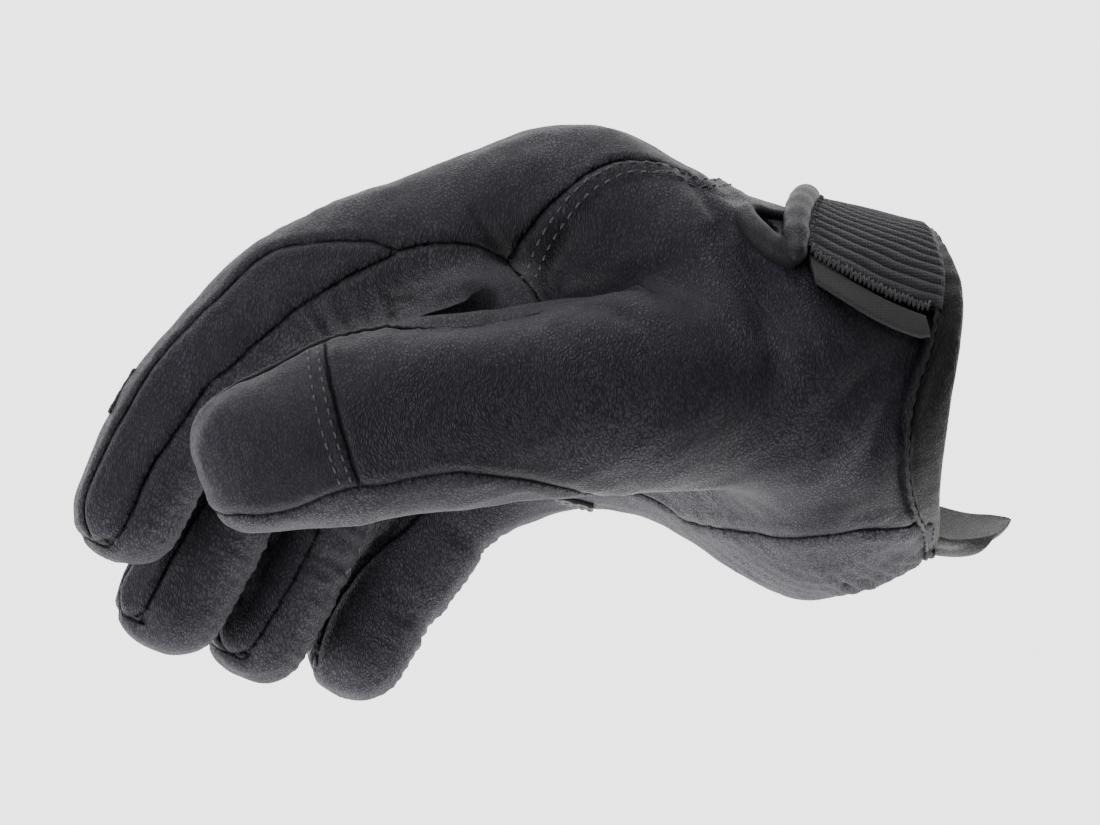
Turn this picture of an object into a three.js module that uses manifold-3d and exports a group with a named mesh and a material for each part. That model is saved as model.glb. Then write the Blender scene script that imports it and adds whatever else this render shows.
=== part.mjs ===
// A leather work glove for the right hand, hollow and open at the cuff, in the shape that it has when worn.
// Millimetres, +Z up. The origin is the middle of the cuff opening. The forearm comes in along +X, the fingers
// point along -X and curl down, the back of the hand is up and the thumb side faces -Y.
import * as THREE from "three";
import { mergeVertices } from "three/addons/utils/BufferGeometryUtils.js";
import Module from "manifold-3d";

const wasm = await Module();
wasm.setup();
const { Manifold } = wasm;

// Driving dimensions
const leather = 1.8; // wall of every leather panel
const seamGap = 0.5; // space between two panels that are sewn together
const palmLength = 92; // cuff edge to the webs between the fingers
const palmWide = 90; // across the palm, thumb side to little finger side
const palmThick = 70; // back to palm at the heel of the hand
const indexLength = 119.5; // knuckle to fingertip, along the finger
const middleLength = 117;
const ringLength = 103;
const littleLength = 79;
const fingerWide = 21; // side to side at the middle joint of the index finger
const fingerThick = 23; // back to pulp at the same place
const thumbLength = 125; // root in the palm to tip
const thumbTall = 34; // back edge to palm edge of the thumb's ball
const thumbDeep = 26;
const bindingWidth = 6; // leather band folded round the cuff edge
const bindingLeather = 1.1;
const elasticLength = 21; // ribbed stretch panel, from the cuff binding to its rolled front edge
const elasticThick = 1.6;
const elasticRise = 1.2; // how far its front edge stands off the back of the wrist
const elasticReach = 76; // degrees that it covers to each side of the back of the wrist
const ribPitch = 3.4;
const ribHeight = 0.8;
const rollDiameter = 4.4; // rolled leather on the front edge of the stretch panel
const notchLength = 11; // notch in the back panel, in front of the roll on the thumb side
const notchWide = 9;
const pipingDiameter = 3.4; // rolled leather round the notch
const tagLength = 22;
const tagWide = 5.5;
const tagThick = 1;
const tabLength = 13; // pull tab past the cuff edge
const tabThick = 3;
const wristRibPitch = 4.2; // ribs of the gathered wrist on the palm side
const wristRibHeight = 1.2;
const wristRibs = 6;
const patchThick = 0.9; // dotted grip patch on the palm

const degrees = Math.PI / 180;
const mix = (a, b, t) => a + (b - a) * t;
const clamp01 = (t) => Math.min(1, Math.max(0, t));
const bump = (t) => (Math.abs(t) < 1 ? Math.cos((t * Math.PI) / 2) ** 2 : 0);
const steps = (count, from = 0, to = 1) =>
  Array.from({ length: count + 1 }, (_, i) => mix(from, to, i / count));

// A table with named columns, read smoothly at any value of its first column.
function table(names, rows) {
  const end = rows.length - 1;
  const slope = (i, c) => {
    const [before, after] = [rows[Math.max(0, i - 1)], rows[Math.min(end, i + 1)]];
    return (after[c] - before[c]) / (after[0] - before[0]);
  };
  return (place) => {
    let i = 0;
    while (i < end - 1 && place > rows[i + 1][0]) i++;
    const span = rows[i + 1][0] - rows[i][0];
    const t = clamp01((place - rows[i][0]) / span);
    const column = (c) =>
      mix(rows[i][c], rows[i + 1][c], 3 * t ** 2 - 2 * t ** 3) +
      slope(i, c) * span * (t ** 3 - 2 * t ** 2 + t) +
      slope(i + 1, c) * span * (t ** 3 - t ** 2);
    return Object.fromEntries(names.map((name, c) => [name, column(c)]));
  };
}

// Points and triangles as a solid: doubled points are merged, empty triangles dropped, faces turned outwards.
function solidFrom(points, faces) {
  const geometry = new THREE.BufferGeometry().setFromPoints(points);
  geometry.setIndex(faces);
  const merged = mergeVertices(geometry, 1e-4);
  const corners = merged.index.array;
  const kept = [];
  for (let i = 0; i < corners.length; i += 3) {
    const [a, b, c] = corners.slice(i, i + 3);
    if (a !== b && b !== c && c !== a) kept.push(a, b, c);
  }
  const vertProperties = merged.attributes.position.array;
  const make = (triangles) =>
    new Manifold(new wasm.Mesh({ numProp: 3, vertProperties, triVerts: new Uint32Array(triangles) }));
  const solid = make(kept);
  return solid.volume() >= 0 ? solid : make(kept.reverse());
}

// A closed solid between two sheets: pointAt(u, v, side) is the outer sheet at side 1 and the inner at side 0.
// With around, the last v meets the first.
function sheetSolid(pointAt, us, vs, around = false) {
  const columns = vs.length - (around ? 1 : 0);
  const sheet = (side) => us.flatMap((u) => vs.slice(0, columns).map((v) => pointAt(u, v, side)));
  const points = [...sheet(0), ...sheet(1)];
  const index = (side, i, j) => (side * us.length + i) * columns + (j % columns);
  const faces = [];
  const quad = (a, b, c, d) => faces.push(a, b, c, a, c, d);
  const [end, edge] = [us.length - 1, vs.length - 1];
  for (let i = 0; i < end; i++)
    for (let j = 0; j < edge; j++) {
      quad(index(1, i, j), index(1, i + 1, j), index(1, i + 1, j + 1), index(1, i, j + 1));
      quad(index(0, i, j), index(0, i, j + 1), index(0, i + 1, j + 1), index(0, i + 1, j));
    }
  for (let j = 0; j < edge; j++) {
    quad(index(1, 0, j), index(1, 0, j + 1), index(0, 0, j + 1), index(0, 0, j));
    quad(index(1, end, j + 1), index(1, end, j), index(0, end, j), index(0, end, j + 1));
  }
  for (let i = 0; i < end && !around; i++) {
    quad(index(1, i + 1, 0), index(1, i, 0), index(0, i, 0), index(0, i + 1, 0));
    quad(index(1, i, edge), index(1, i + 1, edge), index(0, i + 1, edge), index(0, i, edge));
  }
  return solidFrom(points, faces);
}

// A solid through rings of points, closed at each end by a fan.
function ringSolid(rings) {
  const count = rings[0].length;
  const end = rings.length - 1;
  const middle = (ring) => ring.reduce((sum, p) => sum.add(p), new THREE.Vector3()).divideScalar(count);
  const points = [...rings.flat(), middle(rings[0]), middle(rings[end])];
  const at = (i, j) => i * count + (j % count);
  const faces = [];
  for (let j = 0; j < count; j++) {
    for (let i = 0; i < end; i++)
      faces.push(at(i, j), at(i + 1, j), at(i + 1, j + 1), at(i, j), at(i + 1, j + 1), at(i, j + 1));
    faces.push(points.length - 2, at(0, j), at(0, j + 1));
    faces.push(points.length - 1, at(end, j + 1), at(end, j));
  }
  return solidFrom(points, faces);
}

const join = (solids) => Manifold.union(solids);

// The largest body of a solid, without the crumbs that a cut may leave at a seam.
const largest = (solid) =>
  solid.decompose().reduce((best, one) => (one.volume() > best.volume() ? one : best));

// The hand is a tube along -X. Its rows are shares of palmLength, palmWide and palmThick, and the roll in
// degrees that turns the thumb side up.
const handRow = table(
  ["along", "aside", "up", "wide", "thick", "roll"],
  [
    [0, 0, -0.005, 0.74, 0.835, 12],
    [0.15, -0.01, -0.033, 0.87, 0.95, 18],
    [0.3, -0.02, -0.043, 0.99, 0.99, 26],
    [0.45, -0.01, 0.01, 1, 0.88, 33],
    [0.6, 0.02, 0.088, 0.98, 0.73, 38],
    [0.74, 0.05, 0.125, 0.95, 0.74, 41],
    [0.87, 0.055, 0.11, 0.88, 0.56, 42],
    [0.95, 0.055, 0.1, 0.78, 0.42, 42],
    [1, 0.055, 0.09, 0.5, 0.25, 42],
  ],
);

// Folds in the hand's leather: along is a share of palmLength, round is in degrees from the back towards the
// thumb, reach and spread are the half-sizes of the fold in the same terms, slant is the degrees that it turns
// over one palmLength, and depth is a share of leather.
const handFolds = [
  { along: 0.4, round: 93, reach: 0.07, spread: 34, slant: -160, depth: 1.1 },
  { along: 0.13, round: 118, reach: 0.07, spread: 40, slant: 420, depth: 0.9 },
  { along: 0.24, round: 140, reach: 0.05, spread: 24, slant: 300, depth: 0.6 },
];

const foldDepth = (along, round) =>
  handFolds.reduce((sum, fold) => {
    const turn = round - fold.round;
    const off = along - fold.along - turn / fold.slant;
    return sum + fold.depth * leather * bump(off / fold.reach) * bump(turn / fold.spread);
  }, 0);

// Ribs of the gathered wrist, across the palm side between the cuff binding and the heel of the hand.
const wristRibMiddle = 215; // degrees round the wrist
const wristRibSpread = 52;
function wristRib(x, round) {
  const along = (-x - bindingWidth) / wristRibPitch;
  const height = along > 0 && along < wristRibs ? wristRibHeight : 0;
  return height * Math.abs(Math.sin(along * Math.PI)) * bump((round - wristRibMiddle) / wristRibSpread);
}

// How far the cuff edge is set back from the end of the glove, in shares of bindingWidth, at degrees round it.
// The set-back fades out over a share of palmLength.
const cuffSetBack = table(
  ["round", "back"],
  [
    [0, 0.8],
    [40, 0.4],
    [65, 0],
    [85, 0.1],
    [110, 0.45],
    [140, 0.65],
    [165, 0.5],
    [190, 0.4],
    [240, 0.3],
    [300, 0.45],
    [360, 0.8],
  ],
);
const setBackFade = 0.5;

function handFrame(x) {
  const row = handRow(-x / palmLength);
  const roll = row.roll * degrees;
  return {
    row,
    centre: new THREE.Vector3(x, row.aside * palmWide, row.up * palmWide),
    side: new THREE.Vector3(0, -Math.cos(roll), Math.sin(roll)),
    top: new THREE.Vector3(0, Math.sin(roll), Math.cos(roll)),
  };
}

// A point on an oval, at round degrees from its top towards its side.
function ovalPoint(centre, side, top, halfSide, halfTop, round) {
  const reach = halfSide * Math.sin(round * degrees);
  const height = halfTop * Math.cos(round * degrees);
  return centre.clone().addScaledVector(side, reach).addScaledVector(top, height);
}

// A point of the hand at x, lifted off its surface. Share 0 is the hand's centre line.
function handPoint(x, round, lift = 0, share = 1) {
  const { row, centre, side, top } = handFrame(x);
  const whole = ((round % 360) + 360) % 360;
  const raised = lift + wristRib(x, whole) - foldDepth(-x / palmLength, whole);
  const halfSide = ((row.wide * palmWide) / 2 + raised) * share;
  const halfTop = ((row.thick * palmThick) / 2 + raised) * share;
  centre.x -= cuffSetBack(whole).back * bindingWidth * clamp01(1 + x / palmLength / setBackFade) ** 2;
  return ovalPoint(centre, side, top, halfSide, halfTop, round);
}

// Fingers and thumb are bent tubes. The root is a place in the hand: along as a share of palmLength, across
// towards the thumb side as a share of palmWide and lift towards the back as a share of palmThick. Each bone
// has its share of the length, its bend below the horizontal and its drift towards the thumb side in degrees.
// The tip rounds off over its share of the length, and free is where the digit has left the hand. Behind the
// root, a finger runs on into the hand, so that it grows out of the back of the hand without a step.
const fingerGirth = table(
  ["along", "wide", "thick"],
  [
    [-0.25, 0.8, 0.75],
    [-0.1, 1, 1.02],
    [0, 1.04, 1.18],
    [0.26, 1, 1.1],
    [0.47, 1, 1.04],
    [0.6, 0.98, 1],
    [0.73, 0.97, 0.97],
    [0.88, 0.95, 0.93],
    [1, 0.92, 0.9],
  ],
);
const indexGirth = table(
  ["along", "wide", "thick"],
  [
    [-0.25, 0.75, 0.62],
    [-0.1, 1, 0.96],
    [0, 1.06, 1.27],
    [0.26, 1.02, 1.21],
    [0.42, 1, 1.15],
    [0.52, 1, 1.1],
    [0.62, 0.98, 1.05],
    [0.73, 0.97, 1],
    [0.88, 0.95, 0.94],
    [1, 0.92, 0.9],
  ],
);
const littleGirth = table(
  ["along", "wide", "thick"],
  [
    [-0.25, 0.8, 0.75],
    [-0.1, 1, 1.02],
    [0, 1.06, 1.18],
    [0.26, 1.02, 1.14],
    [0.45, 1, 1.1],
    [0.6, 0.98, 1.08],
    [0.73, 0.97, 1.02],
    [0.88, 0.95, 0.98],
    [1, 0.92, 0.9],
  ],
);
const thumbGirth = table(
  ["along", "wide", "thick"],
  [
    [0, 0.6, 0.5],
    [0.16, 0.9, 0.85],
    [0.35, 1.12, 1.01],
    [0.53, 1.06, 0.99],
    [0.68, 1, 0.99],
    [0.78, 0.97, 0.93],
    [0.88, 0.92, 0.8],
    [1, 0.86, 0.68],
  ],
);
const index = {
  length: indexLength,
  wide: fingerWide,
  thick: fingerThick,
  girth: indexGirth,
  roll: 28,
  tip: 0.09,
  free: 0.2,
  root: { along: 0.745, across: 0.385, lift: 0.055 },
  bones: [
    { share: 0.25, bend: -27, drift: 4 },
    { share: 0.485, bend: 18.7, drift: 1.9 },
    { share: 0.285, bend: 46.5, drift: 3.4 },
    { share: 0.23, bend: 68, drift: 3.3 },
  ],
};
const middle = {
  length: middleLength,
  wide: fingerWide * 0.98,
  thick: fingerThick,
  girth: fingerGirth,
  roll: 28,
  tip: 0.09,
  free: 0.12,
  root: { along: 0.783, across: 0.162, lift: 0.064 },
  bones: [
    { share: 0.25, bend: -20, drift: 4 },
    { share: 0.451, bend: 18.1, drift: -2.1 },
    { share: 0.284, bend: 62.5, drift: 3.3 },
    { share: 0.265, bend: 62.2, drift: 5.3 },
  ],
};
const ring = {
  length: ringLength,
  wide: fingerWide * 0.93,
  thick: fingerThick * 0.93,
  girth: fingerGirth,
  roll: 30,
  tip: 0.1,
  free: 0.16,
  root: { along: 0.761, across: -0.086, lift: 0.057 },
  bones: [
    { share: 0.25, bend: -12, drift: 0 },
    { share: 0.441, bend: 14.9, drift: -2.5 },
    { share: 0.324, bend: 71, drift: 8.4 },
    { share: 0.235, bend: 61.7, drift: 3.9 },
  ],
};
const little = {
  length: littleLength,
  wide: fingerWide * 0.86,
  thick: fingerThick * 0.85,
  girth: littleGirth,
  roll: 34,
  tip: 0.12,
  free: 0.25,
  root: { along: 0.696, across: -0.339, lift: 0.027 },
  bones: [
    { share: 0.25, bend: 0, drift: 0 },
    { share: 0.43, bend: 24, drift: 0 },
    { share: 0.27, bend: 57, drift: 8.2 },
    { share: 0.3, bend: 64, drift: 12 },
  ],
};
const thumb = {
  length: thumbLength,
  wide: thumbDeep,
  thick: thumbTall,
  girth: thumbGirth,
  roll: 0,
  tip: 0.14,
  free: 0.33,
  root: { along: 0.217, across: 0.26, lift: -0.19 },
  bones: [
    { share: 0, bend: 0, drift: 0 },
    { share: 0.362, bend: -8.1, drift: 20.7 },
    { share: 0.315, bend: 6, drift: 14.7 },
    { share: 0.323, bend: 16, drift: 3.8 },
  ],
};
const fingers = { index, middle, ring, little };

// The centre line of a digit: straight bones joined by round bends.
const bendEase = 0.09; // how far a bend reaches into the bones beside it, as a share of the length
function digitPath({ length, root, bones }) {
  const { centre, side, top } = handFrame(-root.along * palmLength);
  centre.addScaledVector(side, root.across * palmWide).addScaledVector(top, root.lift * palmThick);
  const ways = bones.map(({ share, bend, drift }) => {
    const level = Math.cos(drift * degrees);
    const way = new THREE.Vector3(Math.cos(bend * degrees) * level, Math.sin(drift * degrees), 0);
    return way.setZ(Math.sin(bend * degrees) * level).multiplyScalar(-share * length);
  });
  const joints = [centre.sub(ways[0])];
  for (const way of ways) joints.push(way.add(joints.at(-1)));
  const path = new THREE.CurvePath();
  let from = joints[0];
  for (let i = 1; i < joints.length - 1; i++) {
    const towards = (end) => end.clone().sub(joints[i]).setLength(bendEase * length).add(joints[i]);
    const [enter, leave] = [towards(joints[i - 1]), towards(joints[i + 1])];
    path.add(new THREE.LineCurve3(from, enter));
    path.add(new THREE.QuadraticBezierCurve3(enter, joints[i], leave));
    from = leave;
  }
  path.add(new THREE.LineCurve3(from, joints.at(-1)));
  return path;
}

// The surface of a digit, as a function of along (0 at the root, 1 at the tip), round in degrees from its back
// towards its thumb side, and lift. Share 0 is its centre line.
const tipBluntness = 2.4;
function digitSurface(digit) {
  const path = digitPath(digit);
  const length = path.getLength();
  const behind = digit.bones[0].share;
  const roll = digit.roll * degrees;
  const aside = new THREE.Vector3(0, -Math.cos(roll), Math.sin(roll));
  return (along, round, lift = 0, share = 1) => {
    const into = clamp01((along - 1 + digit.tip) / digit.tip);
    const travelled = ((along + behind) / (1 + behind)) * length + into * lift;
    const place = clamp01(travelled / length);
    const tangent = path.getTangentAt(place);
    const centre = path.getPointAt(place).addScaledVector(tangent, Math.max(0, travelled - length));
    const side = aside.clone().addScaledVector(tangent, -aside.dot(tangent)).normalize();
    const top = new THREE.Vector3().crossVectors(tangent, side).normalize();
    const girth = digit.girth(along);
    const shrink = share * (1 - into ** tipBluntness) ** (1 / tipBluntness);
    const halfSide = ((girth.wide * digit.wide) / 2 + lift) * shrink;
    const halfTop = ((girth.thick * digit.thick) / 2 + lift) * shrink;
    return ovalPoint(centre, side, top, halfSide, halfTop, round);
  };
}
for (const digit of [thumb, index, middle, ring, little]) digit.point = digitSurface(digit);

// Places along a digit, closer together where its tip rounds off. A volume that starts further along keeps the
// other places, so that its faces lie along those of the whole digit.
const straightRows = 8;
const tipRows = 3;
const nearPlace = 0.004;
function digitPlaces(digit, from = -digit.bones[0].share, to = 1) {
  const straight = steps(straightRows, -digit.bones[0].share, 1 - digit.tip);
  const tip = steps(tipRows).slice(1);
  const rounded = tip.map((t) => mix(1 - digit.tip, 1, Math.sin((t * Math.PI) / 2)));
  const between = (place) => place > from + nearPlace && place < to - nearPlace;
  return [from, ...[...straight, ...rounded].filter(between), to];
}

const digitSides = 12;
const handSides = 30;
const insideSides = { digit: 8, hand: 20 };
const insideSag = (palmWide / 2) * (1 - Math.cos(Math.PI / insideSides.hand)); // flats of the hand's inside
const allRound = (sides) => steps(sides, 0, 360).slice(0, sides);
const digitVolume = (digit, lift, { from, slant = 0, sides = digitSides } = {}) =>
  ringSolid(
    digitPlaces(digit, from).map((along) =>
      allRound(sides).map((round) => {
        const tilt = slant * Math.cos(round * degrees) * (1 - along);
        return digit.point(along + tilt, round, lift);
      }),
    ),
  );

const handRows = 12;
const handVolume = (lift, from, to, sides) =>
  ringSolid(steps(handRows, from, to).map((x) => allRound(sides).map((round) => handPoint(x, round, lift))));

// The whole glove as one volume. Fingers that touch keep clearance between them.
function gloveVolume(lift, cuffX, clearance, sides) {
  const order = [thumb, index, middle, ring, little];
  const bodies = order.map((digit, i) => {
    const body = digitVolume(digit, lift, { sides: sides.digit });
    return i < order.length - 1 ? body.subtract(digitVolume(order[i + 1], clearance)) : body;
  });
  return join([handVolume(lift, cuffX, -palmLength - lift, sides.hand), ...bodies]);
}
const edgeInset = bindingLeather + seamGap; // panel edges stop inside the folded cuff binding
const hollow = gloveVolume(-leather, bindingWidth, seamGap + leather, insideSides);
const wall = gloveVolume(0, -edgeInset, seamGap, { digit: digitSides, hand: handSides }).subtract(hollow);

// Cutters. Skin is how far a digit's own volume stands off its wall, less than half of the space to the next
// digit, and weld is how far the volumes of one panel reach into each other.
const skin = 0.3 * seamGap;
const weld = 0.1 * seamGap;
const cutLift = 3; // how far a cutter reaches past the surface that it cuts
const webLift = 22; // and past the hand's, where the roots of the fingers stand off it
const all = [thumb, index, middle, ring, little];
const freeVolume = (digit, grow = 0) =>
  digitVolume(digit, skin + 0.6 * grow, { from: digit.free - grow / digit.length });

const slice = (pointAt, places, low, high, columns, lift) =>
  sheetSolid((u, v, side) => pointAt(u, mix(low(u), high(u), v), lift, side), places, steps(columns));
const turnOf = (gap, radius) => gap / radius / degrees;

// Seams, each as round degrees at a place along. The thumb seam runs from the cuff under the ball of the thumb
// and up to the web, where it meets the seam across the knuckles.
const thumbSeam = table(
  ["along", "round"],
  [
    [0, 165],
    [0.2, 170],
    [0.39, 175],
    [0.55, 175],
    [0.66, 174],
    [0.8, 146],
    [0.91, 123],
    [1, 120],
  ],
);
const littleSideSeam = 260;
const thumbUnderSeam = table(
  ["along", "round"],
  [
    [0.3, 168],
    [0.42, 152],
    [0.5, 143],
    [0.6, 135],
    [0.76, 133],
    [0.85, 139],
    [0.93, 152],
    [1, 165],
  ],
);
const thumbBackSeam = 8;
const thumbCapSeam = 0.765;
const thumbCapSlant = 0.1;

// Where the seam across the knuckles lies, as a share of palmLength.
const knuckleSeam = table(
  ["round", "along"],
  [
    [-100, 0.67],
    [-60, 0.57],
    [-20, 0.52],
    [0, 0.52],
    [20, 0.545],
    [40, 0.61],
    [60, 0.71],
    [80, 0.83],
    [122, 0.93],
  ],
);
const frontEdge = 122;

// Side strips of a finger: middle and half-width in degrees at a place along. The one on the thumb side of the
// index finger is an almond that starts in a point.
const sideStrip = table(
  ["along", "middle", "half"],
  [
    [0.1, 81, 24],
    [0.5, 81, 30],
    [0.8, 81, 30],
    [1, 80, 26],
  ],
);
const almondStrip = table(
  ["along", "middle", "half"],
  [
    [0.33, 106, 3],
    [0.4, 110, 20],
    [0.48, 110, 32],
    [0.6, 98, 38],
    [0.75, 80, 38],
    [0.91, 71, 34],
  ],
);
function stripVolume(digit, shape, from, towards, grow) {
  const margin = turnOf(grow, digit.wide / 2);
  const edge = (sign) => (along) => {
    const { middle: centre, half } = shape(along);
    return towards * (centre + sign * (half + margin));
  };
  const ends = [from - grow / digit.length, 1 - digit.tip + grow / digit.length];
  return slice(digit.point, digitPlaces(digit, ...ends), edge(-1), edge(1), 2, cutLift).intersect(
    freeVolume(digit, grow),
  );
}
const strips = Object.entries(fingers).flatMap(([name, digit]) =>
  ["thumb", "little"].map((facing) => {
    const almond = name === "index" && facing === "thumb";
    const [shape, from] = almond ? [almondStrip, 0.33] : [sideStrip, digit.free + 0.03];
    const towards = facing === "thumb" ? 1 : -1;
    const volume = (grow) => stripVolume(digit, shape, from, towards, grow);
    return { name: `${name}_strip_${facing}_side`, digit, volume };
  }),
);
const aroundStrips = join(strips.map((strip) => strip.volume(seamGap)));

// The palm side of a finger, with its tip.
const palmEdge = table(
  ["along", "round"],
  [
    [0, 111],
    [1, 108],
  ],
);
const indexPalmEdge = table(
  ["along", "round"],
  [
    [0.2, 147],
    [0.26, 129],
    [0.33, 115],
    [0.48, 110],
    [0.6, 98],
    [0.75, 80],
    [1, 71],
  ],
);
function fingerPalmVolume(digit, grow) {
  const margin = turnOf(grow, digit.wide / 2);
  const low = (along) => (digit === index ? indexPalmEdge : palmEdge)(along).round - margin;
  const high = (along) => 360 - palmEdge(along).round + margin;
  const [from, tip] = [digit.free - 0.02, 1 - digit.tip - grow / digit.length];
  const side = slice(digit.point, digitPlaces(digit, from, tip + 0.01), low, high, 4, cutLift);
  return join([side, digitVolume(digit, cutLift, { from: tip })]).intersect(freeVolume(digit, weld + grow));
}

// The palm panel's volume, and the knuckle panel's, which is the front of the hand with the free fingers.
const handCutRows = 9;
const freeDigits = join(all.map((digit) => freeVolume(digit)));
function palmVolume(grow) {
  const turn = turnOf(grow, palmWide / 2);
  const low = (x) => thumbSeam(-x / palmLength).round - turn;
  const high = () => littleSideSeam + turn;
  const hand = slice(handPoint, steps(handCutRows, bindingWidth, -palmLength - webLift), low, high, 8, webLift);
  return join([hand.subtract(freeDigits), ...Object.values(fingers).map((digit) => fingerPalmVolume(digit, grow))]);
}
function knuckleVolume(grow) {
  const turn = turnOf(grow, palmWide / 2);
  const pointAt = (u, v, side) => {
    const round = mix(littleSideSeam - 360 - turn, frontEdge + turn, v);
    const seam = grow - knuckleSeam(round).along * palmLength;
    return handPoint(mix(seam, -palmLength - webLift, u), round, webLift, mix(0.1, 1, side));
  };
  const front = sheetSolid(pointAt, steps(3), steps(handCutRows));
  const backs = Object.values(fingers).map((digit) => freeVolume(digit, weld + grow));
  return join([front.subtract(freeDigits), ...backs]);
}

// The near side of the thumb, which the back panel and the thumb cap share.
function nearThumbVolume(grow) {
  const turn = turnOf(grow, thumbTall / 2);
  const low = () => thumbBackSeam - turn;
  const high = (along) => thumbUnderSeam(along).round + turn;
  return slice(thumb.point, digitPlaces(thumb, thumb.free - 0.05), low, high, 5, cutLift);
}
const capVolume = (grow) =>
  digitVolume(thumb, cutLift, { from: thumbCapSeam - grow / thumb.length, slant: thumbCapSlant }).intersect(
    nearThumbVolume(0),
  );
const underThumbVolume = (grow) => freeVolume(thumb, grow).subtract(nearThumbVolume(seamGap - grow));

// The stretch panel at the back of the wrist, its rolled front edge, and the notch with its piping.
const elasticFront = -bindingWidth - seamGap - elasticLength;
const ribs = Math.round((2 * elasticReach * degrees * palmThick) / 2 / ribPitch);
const elasticLift = (x) => seamGap + (elasticRise * (x + bindingWidth)) / (elasticFront + bindingWidth);
function elasticPoint(x, v, side) {
  const rib = ribHeight * Math.abs(Math.sin(v * ribs * Math.PI));
  return handPoint(x, mix(-elasticReach, elasticReach, v), elasticLift(x) + side * (elasticThick + rib));
}
const elastic = sheetSolid(elasticPoint, steps(3, -bindingWidth - seamGap, elasticFront), steps(ribs * 2));

// A round bar along points of the hand's surface, given as x, round and lift.
function bar(places, diameter, rows) {
  const path = new THREE.CatmullRomCurve3(places.map(([x, round, lift]) => handPoint(x, round, lift)));
  const frames = path.computeFrenetFrames(rows);
  const rings = steps(rows).map((t, i) =>
    allRound(8).map((turn) =>
      ovalPoint(path.getPointAt(t), frames.normals[i], frames.binormals[i], diameter / 2, diameter / 2, turn),
    ),
  );
  return ringSolid(rings);
}
const rollX = elasticFront - seamGap - rollDiameter / 2;
const rollLift = seamGap + rollDiameter / 2;
const rollPlaces = steps(12, -elasticReach, elasticReach).map((round) => [rollX, round, rollLift]);
const roll = bar(rollPlaces, rollDiameter, 20);

const notchRound = 77;
const notchHalf = turnOf(notchWide / 2, palmWide / 2);
const notchBack = rollX - rollDiameter / 2 - seamGap - pipingDiameter / 2;
const notchFront = notchBack - notchLength + pipingDiameter;
const pipingLift = 0.3;
const pipingPlaces = [-90, -45, 0, 45, 90].map((turn) => {
  const reach = Math.cos(turn * degrees) * (notchWide / 2);
  return [notchFront + notchWide / 2 - reach, notchRound + notchHalf * Math.sin(turn * degrees), pipingLift];
});
const pipingPath = [
  [notchBack, notchRound - notchHalf, pipingLift],
  ...pipingPlaces,
  [notchBack, notchRound + notchHalf, pipingLift],
];
const piping = bar(pipingPath, pipingDiameter, 16);
const notchEdge = bar(pipingPath, pipingDiameter + 2 * seamGap, 16);
const openUnder = slice(
  handPoint,
  steps(6, -bindingWidth - 4, elasticFront + 3),
  () => 8 - elasticReach,
  () => elasticReach - 8,
  20,
  webLift,
);
const notchOpen = slice(
  handPoint,
  steps(4, notchFront + notchWide / 3, elasticFront + 4),
  () => notchRound - notchHalf,
  () => notchRound + notchHalf,
  4,
  webLift,
);

// Tag, pull tab, cuff binding and grip patch.
const tagFront = elasticFront + 1;
const tagStart = elasticReach + turnOf(seamGap + ribHeight, palmThick / 2);
const tagTurn = turnOf(tagWide, palmThick / 2);
const tagPoint = (x, v, side) =>
  handPoint(x, tagStart + v * tagTurn, seamGap + 0.6 + 1.6 * v + side * tagThick);
const tag = sheetSolid(tagPoint, steps(6, tagFront, tagFront + tagLength * 0.93), steps(2));

const tabLow = 185;
const tabHigh = 230;
const tabTaper = 12; // degrees that each side draws in at the free end
function tabPoint(u, v, side) {
  const round = mix(tabLow + tabTaper * u ** 2, tabHigh - tabTaper * u ** 2, v);
  const out = 1.5 * Math.sin(u * Math.PI) - 2.4 * u;
  const thick = tabThick * (1 - 0.5 * u ** 2);
  const point = handPoint(0, round, out - leather + side * thick);
  return point.setX(mix(point.x + seamGap, tabLength, u));
}
const tab = sheetSolid(tabPoint, steps(5), steps(7));

const bindingRing = (outside, back, front) =>
  sheetSolid(
    (x, v, side) => handPoint(x, v * 360, side ? outside : -outside - leather - insideSag),
    steps(2, back, front),
    steps(handSides),
    true,
  );
const binding = bindingRing(seamGap + bindingLeather, 0, -bindingWidth).subtract(
  bindingRing(seamGap, -bindingLeather, -bindingWidth - bindingLeather),
);

const patchPoint = (u, v, side) =>
  handPoint(-palmLength * mix(0.72, 0.84, u), mix(206, 246, v), seamGap + side * patchThick);
const patch = sheetSolid(patchPoint, steps(3), steps(6)).subtract(
  join(Object.values(fingers).map((digit) => digitVolume(digit, seamGap))),
);

// Every panel is a part of the wall, less a seamGap towards its neighbours.
const palmPanel = wall.intersect(palmVolume(0)).subtract(join([aroundStrips, freeVolume(thumb, seamGap)]));
const knucklePanel = wall
  .intersect(knuckleVolume(0))
  .subtract(join([palmVolume(seamGap), aroundStrips, freeVolume(thumb, seamGap)]));
const backPanel = wall.subtract(
  join([
    palmVolume(seamGap),
    knuckleVolume(seamGap),
    underThumbVolume(seamGap),
    capVolume(seamGap),
    notchEdge,
    notchOpen,
    openUnder,
  ]),
);
const nextDigit = (digit) => all[all.indexOf(digit) + 1];
const stripWall = ({ digit, volume }) => {
  const own = wall.intersect(volume(0));
  return nextDigit(digit) ? own.subtract(freeVolume(nextDigit(digit), seamGap)) : own;
};

const leatherBlack = "#333237";
const looks = {
  leather: { color: leatherBlack, roughness: 0.55 },
  strip: { color: "#2e2d32", roughness: 0.6 },
  binding: { color: "#2d2d2f", roughness: 0.6 },
  elastic: { color: "#424247", roughness: 0.9 },
  tag: { color: "#505053", roughness: 0.8 },
  tab: { color: "#5f5f62", roughness: 0.6 },
};
const glove = new THREE.Group();
glove.name = "glove";

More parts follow.
